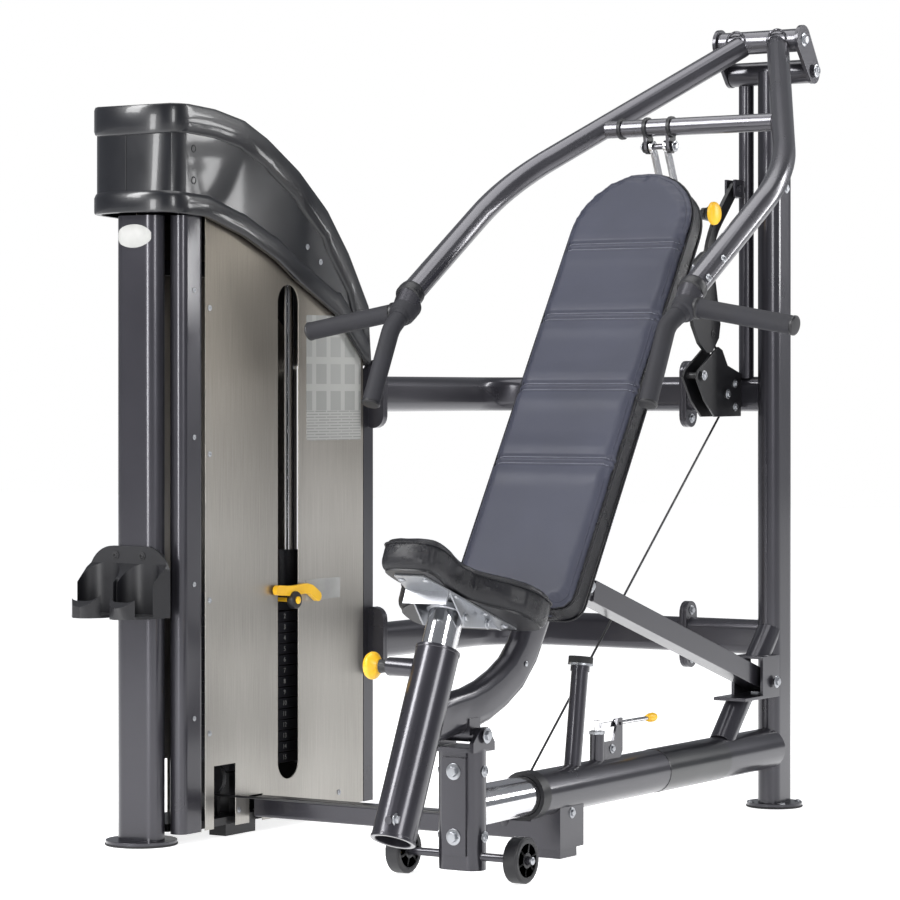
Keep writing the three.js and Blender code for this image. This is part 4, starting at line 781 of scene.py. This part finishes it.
def rocker():
    zinc = Piece("rocker_bolts", "rocker", "zinc")
    zinc.bolt(mm(-70, -308, 1345), (1, 0, 0), 9, 7)
    zinc.lathe(mm(-99, -152, 1188), (-1, 0, 0), [(11, 0), (11, 5), (9, 6)], 20)
    zinc.finish()
    rim = Piece("rocker_rims", "rocker", "black_steel")
    for y, z, r in ((-172, 1342, 14), (-214, 1250, 18), (-176, 1190, 9)):
        rim.lathe(mm(-82, y, z), (1, 0, 0), [(r, -1), (r, 1.6), (r - 2, 2.2), (r - 3.5, 1.2), (r - 3.6, -0.6)], 30)
    rim.finish()
    black = Piece("rocker_pin_cone", "rocker_pin", "black_plastic")
    black.lathe(mm(-79, -212, 1488), (1, 0, 0), [(15.5, 0), (17.2, 3), (20, 9), (15, 10)], 30)
    black.finish()
    knob = Piece("rocker_pin_rim", "rocker_pin", "yellow_plastic")
    knob.lathe(mm(-79, -212, 1488), (1, 0, 0), [(26.5, 13.6), (28.6, 15), (29, 19), (28.2, 23), (24, 27.5),
                                                (14, 30.2), (4, 30.8)], 40)
    knob.finish()


def housing():
    zinc = Piece("housing_bolts", "frame", "zinc")
    for y, z in ((-238, 1086), (-112, 1040)):
        zinc.bolt(mm(-73.5, y, z), (1, 0, 0), 8, 6)
    for y, z in ((-60, 1066), (-60, 1008)):
        zinc.bolt(mm(-80, y, z), (1, 0, 0), 7, 6)
    for z in (1040, 425):
        for dz in (-62, 62):
            zinc.bolt(mm(-236, 0, z + dz), (1, 0, 0), 8, 7)
            zinc.bolt(mm(-258, 0, z + dz), (-1, 0, 0), 8, 7)
            zinc.bolt(mm(-798, -608, z + dz), (0, 1, 0), 8, 7)
    for side in (-1, 1):
        zinc.bolt(mm(side * 52, -90, 323), (side, 0, 0), 10, 8)
    zinc.bolt(mm(30, 8, 1558), (1, 0, 0), 8, 6)
    zinc.finish()


# ---------------------------------------------------------------- base and bench details
def base_details():
    band = Piece("base_band", "frame", "cover_plastic")
    rings = [(51.15, 0), (51.9, 0.8), (51.9, 309.2), (51.15, 310)]
    outer = []
    for r, h in rings + [(50.4, 310), (50.4, 0)]:
        outer.append([mm(r * math.cos(a), -640 + h, 150 + r * math.sin(a))
                      for a in [2 * math.pi * j / 64 for j in range(64)]])
    band.ring_mesh(outer, loop=True)
    band.finish()
    lean = Vector((0, 39, 244)).normalized()
    top = mm(0, -979, 424)
    ring = Piece("bumper_ring", "frame", "zinc")
    ring.lathe(top - lean * 3 * MM, lean, [(23, 0), (29.2, 1), (29.2, 5.5), (28.7, 6)], 36)
    ring.finish()
    lever = Piece("lever_tip", "lock_lever", "yellow_plastic")
    lever.lathe(mm(1.5, -668, 277), (0, 1, 0), [(5.2, 0), (8, 2), (10.6, 12), (11, 28), (9, 36), (4, 39)], 28)
    lever.finish()
    zinc = Piece("base_bolts", "frame", "zinc")
    zinc.bolt(mm(13.2, -855, 222), (1, 0, 0), 7, 6)
    for x, y in ((44, 44), (-44, 44), (44, -44), (-44, -44)):
        zinc.dome(mm(x, y, 12), (0, 0, 1), 6, 4)
    zinc.lathe(mm(0, -903, 259.5), (0, 0, 1), [(19, 0), (19, 6), (17.6, 7.4)], 6)
    zinc.bolt(mm(38, -1082, 100), (1, 0, 0), 8, 6)
    zinc.finish()
    feet = Piece("foot_pads", "frame", "foot_rubber")
    for x, y, r in ((0, 0, 71.5), (-915, -1421, 84.5)):
        feet.lathe(mm(x, y, 0.2), (0, 0, 1), [(r - 1.5, 0), (r, 1), (r, 4), (r - 1.2, 4.8)], 56)
    feet.finish()


def carriage():
    zinc = Piece("carriage_bolts", "carriage", "zinc")
    for z in (92, 232):
        zinc.bolt(mm(0, -1522, z), (0, -1, 0), 11.5, 11)
    for side in (-1, 1):
        zinc.bolt(mm(side * 60, -1482, 309), (side, 0, 0), 11, 8)
        zinc.dome(mm(side * 55, -1484, 92), (side, 0, 0), 9, 6)
        zinc.dome(mm(side * 55, -1484, 232), (side, 0, 0), 9, 6)
        zinc.lathe(mm(side * 174.6, -1490, 50), (side, 0, 0), [(8.6, 0), (8.6, 4), (6, 6), (2, 6.8)], 24)
    zinc.finish()
    for name, side in (("wheel_left", -1), ("wheel_right", 1)):
        spokes = Piece(name + "_spokes", name, "black_plastic")
        for face in (-1, 1):
            at = mm(side * 148.5, -1490, 50)
            for i in range(6):
                a = 2 * math.pi * i / 6 + 0.3
                arm = Vector((0, math.cos(a), math.sin(a)))
                across = Vector((0, -math.sin(a), math.cos(a)))
                centre = at + Vector((face * 13.6 * MM, 0, 0))

                def place(u, v, w, arm=arm, across=across, centre=centre, face=face):
                    return centre + arm * u * MM + across * v * MM + Vector((face * w * MM, 0, 0))
                spokes.slab([(15.5, -3.4), (37, -2.4), (37, 2.4), (15.5, 3.4)], place, -2.8, 3.0)
            spokes.lathe(at + Vector((face * 17 * MM, 0, 0)), (face, 0, 0), [(46, -0.4), (45, 0.5), (38, 0.5), (37, -0.4)], 44)
        spokes.finish(bevel=0.5)


def bench():
    low, high = mm(0, -1759, 110), mm(0, -1584, 496)
    axis = (high - low).normalized()
    rim = Piece("seat_tube_rims", "bench", "frame_paint")
    for at, sign in ((high, 1), (low, -1)):
        rings = []
        for r, h in ((47.3, -6), (48.4, -5), (48.4, 0.6), (47.2, 1.6), (40.2, 1.6), (39.4, 0.6), (39.4, -6)):
            rings.append([at + (frame_of(axis)[0] * math.cos(a) + frame_of(axis)[1] * math.sin(a)) * r * MM
                          + axis * sign * h * MM for a in [2 * math.pi * j / 56 for j in range(56)]])
        rim.ring_mesh(rings, loop=True)
    rim.finish()
    zinc = Piece("bench_bolts", "bench", "zinc")
    for side in (-1, 1):
        zinc.bolt(mm(side * 40, -1000, 605), (side, 0, 0), 10, 8)
    bolt = high + axis * -371 * MM
    zinc.bolt(Vector((21 * MM, bolt.y - 42 * MM, bolt.z)), (1, 0, 0), 9, 8)
    zinc.finish()
    pin = high + axis * -42 * MM
    knob = Piece("seat_pin_cone", "seat_pin", "black_plastic")
    knob.lathe(Vector((-114 * MM, pin.y, pin.z)), (-1, 0, 0), [(12, 0), (13.5, 3), (14, 12), (15.5, 19), (11, 21)], 28)
    knob.finish()
    disc = Piece("seat_pin_rim", "seat_pin", "yellow_plastic")
    disc.lathe(Vector((-130 * MM, pin.y, pin.z)), (-1, 0, 0), [(14.4, 7), (28.6, 19), (29.9, 22), (29.9, 27), (27, 32.6),
                                                               (18, 35.2), (6, 36)], 44)
    disc.finish()
    wedge = Piece("tube_saddle", "bench", "zinc")
    wedge.lathe(mm(0, -1262, 446) + Vector((26 * MM, 0, 0)), (1, 0, 0), [(0.5, 0), (6, 0.2), (6, 1.2), (5, 1.8)], 20)
    wedge.finish()


def seat_details():
    zinc = Piece("seat_screws", "seat", "zinc")
    for side in (-1, 1):
        for along, across in ((-150, 34), (-60, 58), (40, 78), (112, 88)):
            zinc.dome(seat_point(side * across * 0.88, along, 99.6), -SEAT_AXIS, 6, 4)
        zinc.bolt(mm(side * 54, -1560, 566), (side, 0, 0), 8, 6)
        zinc.bolt(mm(side * 54, -1470, 548), (side, 0, 0), 8, 6)
    zinc.finish()
    post = Piece("post_collar", "seat", "zinc")
    post.lathe(seat_point(0, 0, 84), SEAT_AXIS, [(38.3, 0), (44, 1.5), (44, 11), (38.3, 14)], 48)
    post.finish()


# ---------------------------------------------------------------- tower details
COVER_TOP = [(-1505, 1700), (-1450, 1706), (-1395, 1707), (-1294, 1702), (-1182, 1684), (-1085, 1646),
             (-956, 1577), (-836, 1489), (-742, 1386), (-651, 1254)]
COVER_LOW = [(-1505, 1458), (-1327, 1450), (-1182, 1412), (-1048, 1360), (-956, 1310), (-788, 1234),
             (-660, 1119), (-636, 1110)]
NOSE = [(118, -1405), (117, -1430), (108, -1449), (88, -1464), (56, -1474), (20, -1479)]


def height_at(table, y):
    for (y0, z0), (y1, z1) in zip(table, table[1:]):
        if y0 <= y <= y1:
            t = (y - y0) / (y1 - y0)
            return z0 + (z1 - z0) * t, (z1 - z0) / (y1 - y0)
    edge = table[0] if y < table[0][0] else table[-1]
    return edge[1], 0.0


def cover_path():
    near = [(118, -655 - 15 * i) for i in range(50)]
    nose = NOSE + [(-x, y) for x, y in reversed(NOSE)]
    return near + nose + [(-x, y) for x, y in reversed(near)]


def cover_band(piece, table, section, sign):
    """A closed moulding that runs round the cover; section is (out, down) in millimetres."""
    path = cover_path()
    rings = []
    for i, (x, y) in enumerate(path):
        ax, ay = path[max(i - 1, 0)]
        bx, by = path[min(i + 1, len(path) - 1)]
        length = math.hypot(bx - ax, by - ay) or 1
        nx, ny = -(by - ay) / length, (bx - ax) / length
        if nx * x < 0 or (abs(x) < 30 and ny > 0):
            nx, ny = -nx, -ny
        z, slope = height_at(table, y)
        steep = math.sqrt(1 + slope * slope)
        rings.append([mm(-915 + x + nx * out, y + ny * out, z + sign * down * steep) for out, down in section])
    piece.ring_mesh(rings)


def cover():
    bands = Piece("cover_bands", "frame", "cover_plastic")
    cover_band(bands, COVER_TOP, [(-2, -2), (3.5, -1), (6.5, -9), (6.5, -58), (4, -66), (-2, -69)], 1)
    cover_band(bands, COVER_LOW, [(-2, 52), (3, 46), (6.5, 38), (6.5, 6), (5, 0.5), (-2, -0.5)], 1)
    bands.finish(bevel=1.2)
    seam = Piece("cover_seam", "frame", "foot_rubber")
    seam.slab([(-0.8, 1462), (0.8, 1462), (0.8, 1698), (-0.8, 1698)],
              lambda u, v, w: mm(-915 + u, -1479.5 - w, v), -1, 0.5)
    seam.finish()
    ring = Piece("cover_holes", "frame", "foot_rubber")
    for y, z in ((-1378, 1605), (-1378, 1532)):
        ring.lathe(mm(-797, y, z), (1, 0, 0), [(9, -1), (9, 0.7), (7.6, 1.2), (6.4, 0.4), (6.2, -0.8)], 30)
    ring.finish()
    screws = Piece("tower_screws", "frame", "zinc")
    for y, z in ((-862, 1361), (-918, 1396)):
        screws.dome(mm(-796.6, y, z), (1, 0, 0), 5, 3)
    for z in (250, 560, 900, 1240):
        screws.dome(mm(-811.8, -1296, z), (1, 0, 0), 5, 3)
        screws.dome(mm(-812, -1356, z + 40), (1, 0, 0), 4.2, 2.6)
    for y in (-760, -1180):
        screws.dome(mm(-811.8, y, 60), (1, 0, 0), 5, 3)
    screws.finish()


def plate_numbers():
    for i in range(15):
        z = (147 + i * 26.3 + 12) if i < 14 else 540
        text = bpy.data.curves.new(f"number_{i}", "FONT")
        text.body = str(15 - i)
        text.size = 0.0165
        text.extrude = 0.0002
        text.align_x = "CENTER"
        text.align_y = "CENTER"
        text.resolution_u = 3
        holder = bpy.data.objects.new(f"number_{i}", text)
        scene.collection.objects.link(holder)
        holder.matrix_world = Matrix.Translation(mm(-856.7, -928, z)) @ Matrix(
            ((0, 0, 1, 0), (1, 0, 0, 0), (0, 1, 0, 0), (0, 0, 0, 1)))
        bpy.context.view_layer.update()
        graph = bpy.context.evaluated_depsgraph_get()
        mesh = bpy.data.meshes.new_from_object(holder.evaluated_get(graph))
        mesh.transform(holder.matrix_world)
        bpy.data.objects.remove(holder)
        number = bpy.data.objects.new(f"plate_number_{15 - i}", mesh)
        scene.collection.objects.link(number)
        mesh.materials.clear()
        mesh.materials.append(MATS["label_white"])
        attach(number, "frame" if i < 14 else "stack_head")


def rounded(u0, u1, v0, v1, r, steps=6):
    points = []
    for cu, cv, start in ((u1 - r, v1 - r, 0), (u0 + r, v1 - r, 90), (u0 + r, v0 + r, 180), (u1 - r, v0 + r, 270)):
        for i in range(steps + 1):
            a = math.radians(start + 90 * i / steps)
            points.append((cu + r * math.cos(a), cv + r * math.sin(a)))
    return points


def labels():
    board = Piece("tower_placard", "frame", "placard", "panel_steel")
    board.slab(rounded(-901, -664, 927, 1232, 6), lambda u, v, w: mm(-812 + w, u, v), -0.2, 0.7)
    board.finish()
    small = Piece("tower_label", "frame", "label_white", "panel_steel")
    small.slab(rounded(-905, -756, 540, 590, 3), lambda u, v, w: mm(-812 + w, u, v), -0.2, 0.6)
    small.finish()
    oval = Piece("post_label", "frame", "label_white", "panel_steel")
    rings = []
    for i in range(25):
        s = -48 + 4 * i
        high = 27 * math.sqrt(max(0.02, 1 - (s / 50) ** 2))
        bend = (abs(s) - 30) / 30 if abs(s) > 30 else 0
        sign = 1 if s > 0 else -1
        normal = (sign * math.sin(bend), -math.cos(bend))
        x = -915 + (s if not bend else sign * 30 + 30 * normal[0])
        y = -1421 + 30 * normal[1]
        rings.append([mm(x + normal[0] * lift, y + normal[1] * lift, 1404 + v)
                      for lift, v in ((-0.3, -high), (0.6, -high), (0.6, high), (-0.3, high))])
    oval.ring_mesh(rings)
    oval.finish()


def selector():
    disc = Piece("selector_disc", "selector", "black_plastic")
    disc.lathe(mm(-791, -977, 545), (1, 0, 0), [(19, -12), (21, -10), (21, 3), (19, 6), (9, 7)], 36)
    disc.finish()
    cap = Piece("selector_cap", "selector", "yellow_plastic")
    cap.lathe(mm(-784, -977, 545), (1, 0, 0), [(9, -1), (9, 3), (6, 5), (2, 5.4)], 28)
    cap.finish()
    ferrule = Piece("cable_ferrule", "stack_head", "zinc")
    ferrule.lathe(mm(-915, -980, 654), (0, 0, 1), [(9, 0), (9, 12), (5.4, 14), (5.4, 40), (4, 43)], 24)
    ferrule.finish()


def holder_details():
    zinc = Piece("holder_bolts", "frame", "foot_rubber")
    for x in (-962, -886):
        zinc.dome(mm(x, -1457.6, 668), (0, -1, 0), 7, 4)
    zinc.finish()


def cables():
    rocker_run = Piece("cable_to_rocker", "frame", "cable_nylon")
    low, high = mm(-98, -83.2, 1071), mm(-98, -148, 1181)
    rocker_run.tube([low.lerp(high, i / 24) for i in range(25)], 2.8, 10)
    obj = rocker_run.finish(blend=(("frame", "rocker"), tuple(low), tuple(high)))
    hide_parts("cable_rocker_end")
    stack_run = Piece("cable_to_stack", "frame", "cable_nylon")
    top, low = mm(-915, -980, 1399.7), mm(-915, -980, 655.3)
    stack_run.tube([top.lerp(low, i / 40) for i in range(41)], 2.8, 10)
    obj = stack_run.finish(blend=(("frame", "stack_head"), tuple(top), tuple(low)))
    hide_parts("cable_stack_end")


def main():
    make_camera()
    make_stage()
    dress_nodes()
    backrest()
    seat()
    press_arm()
    push_rod()
    rocker()
    housing()
    base_details()
    carriage()
    bench()
    seat_details()
    cover()
    plate_numbers()
    labels()
    selector()
    holder_details()
    cables()


main()
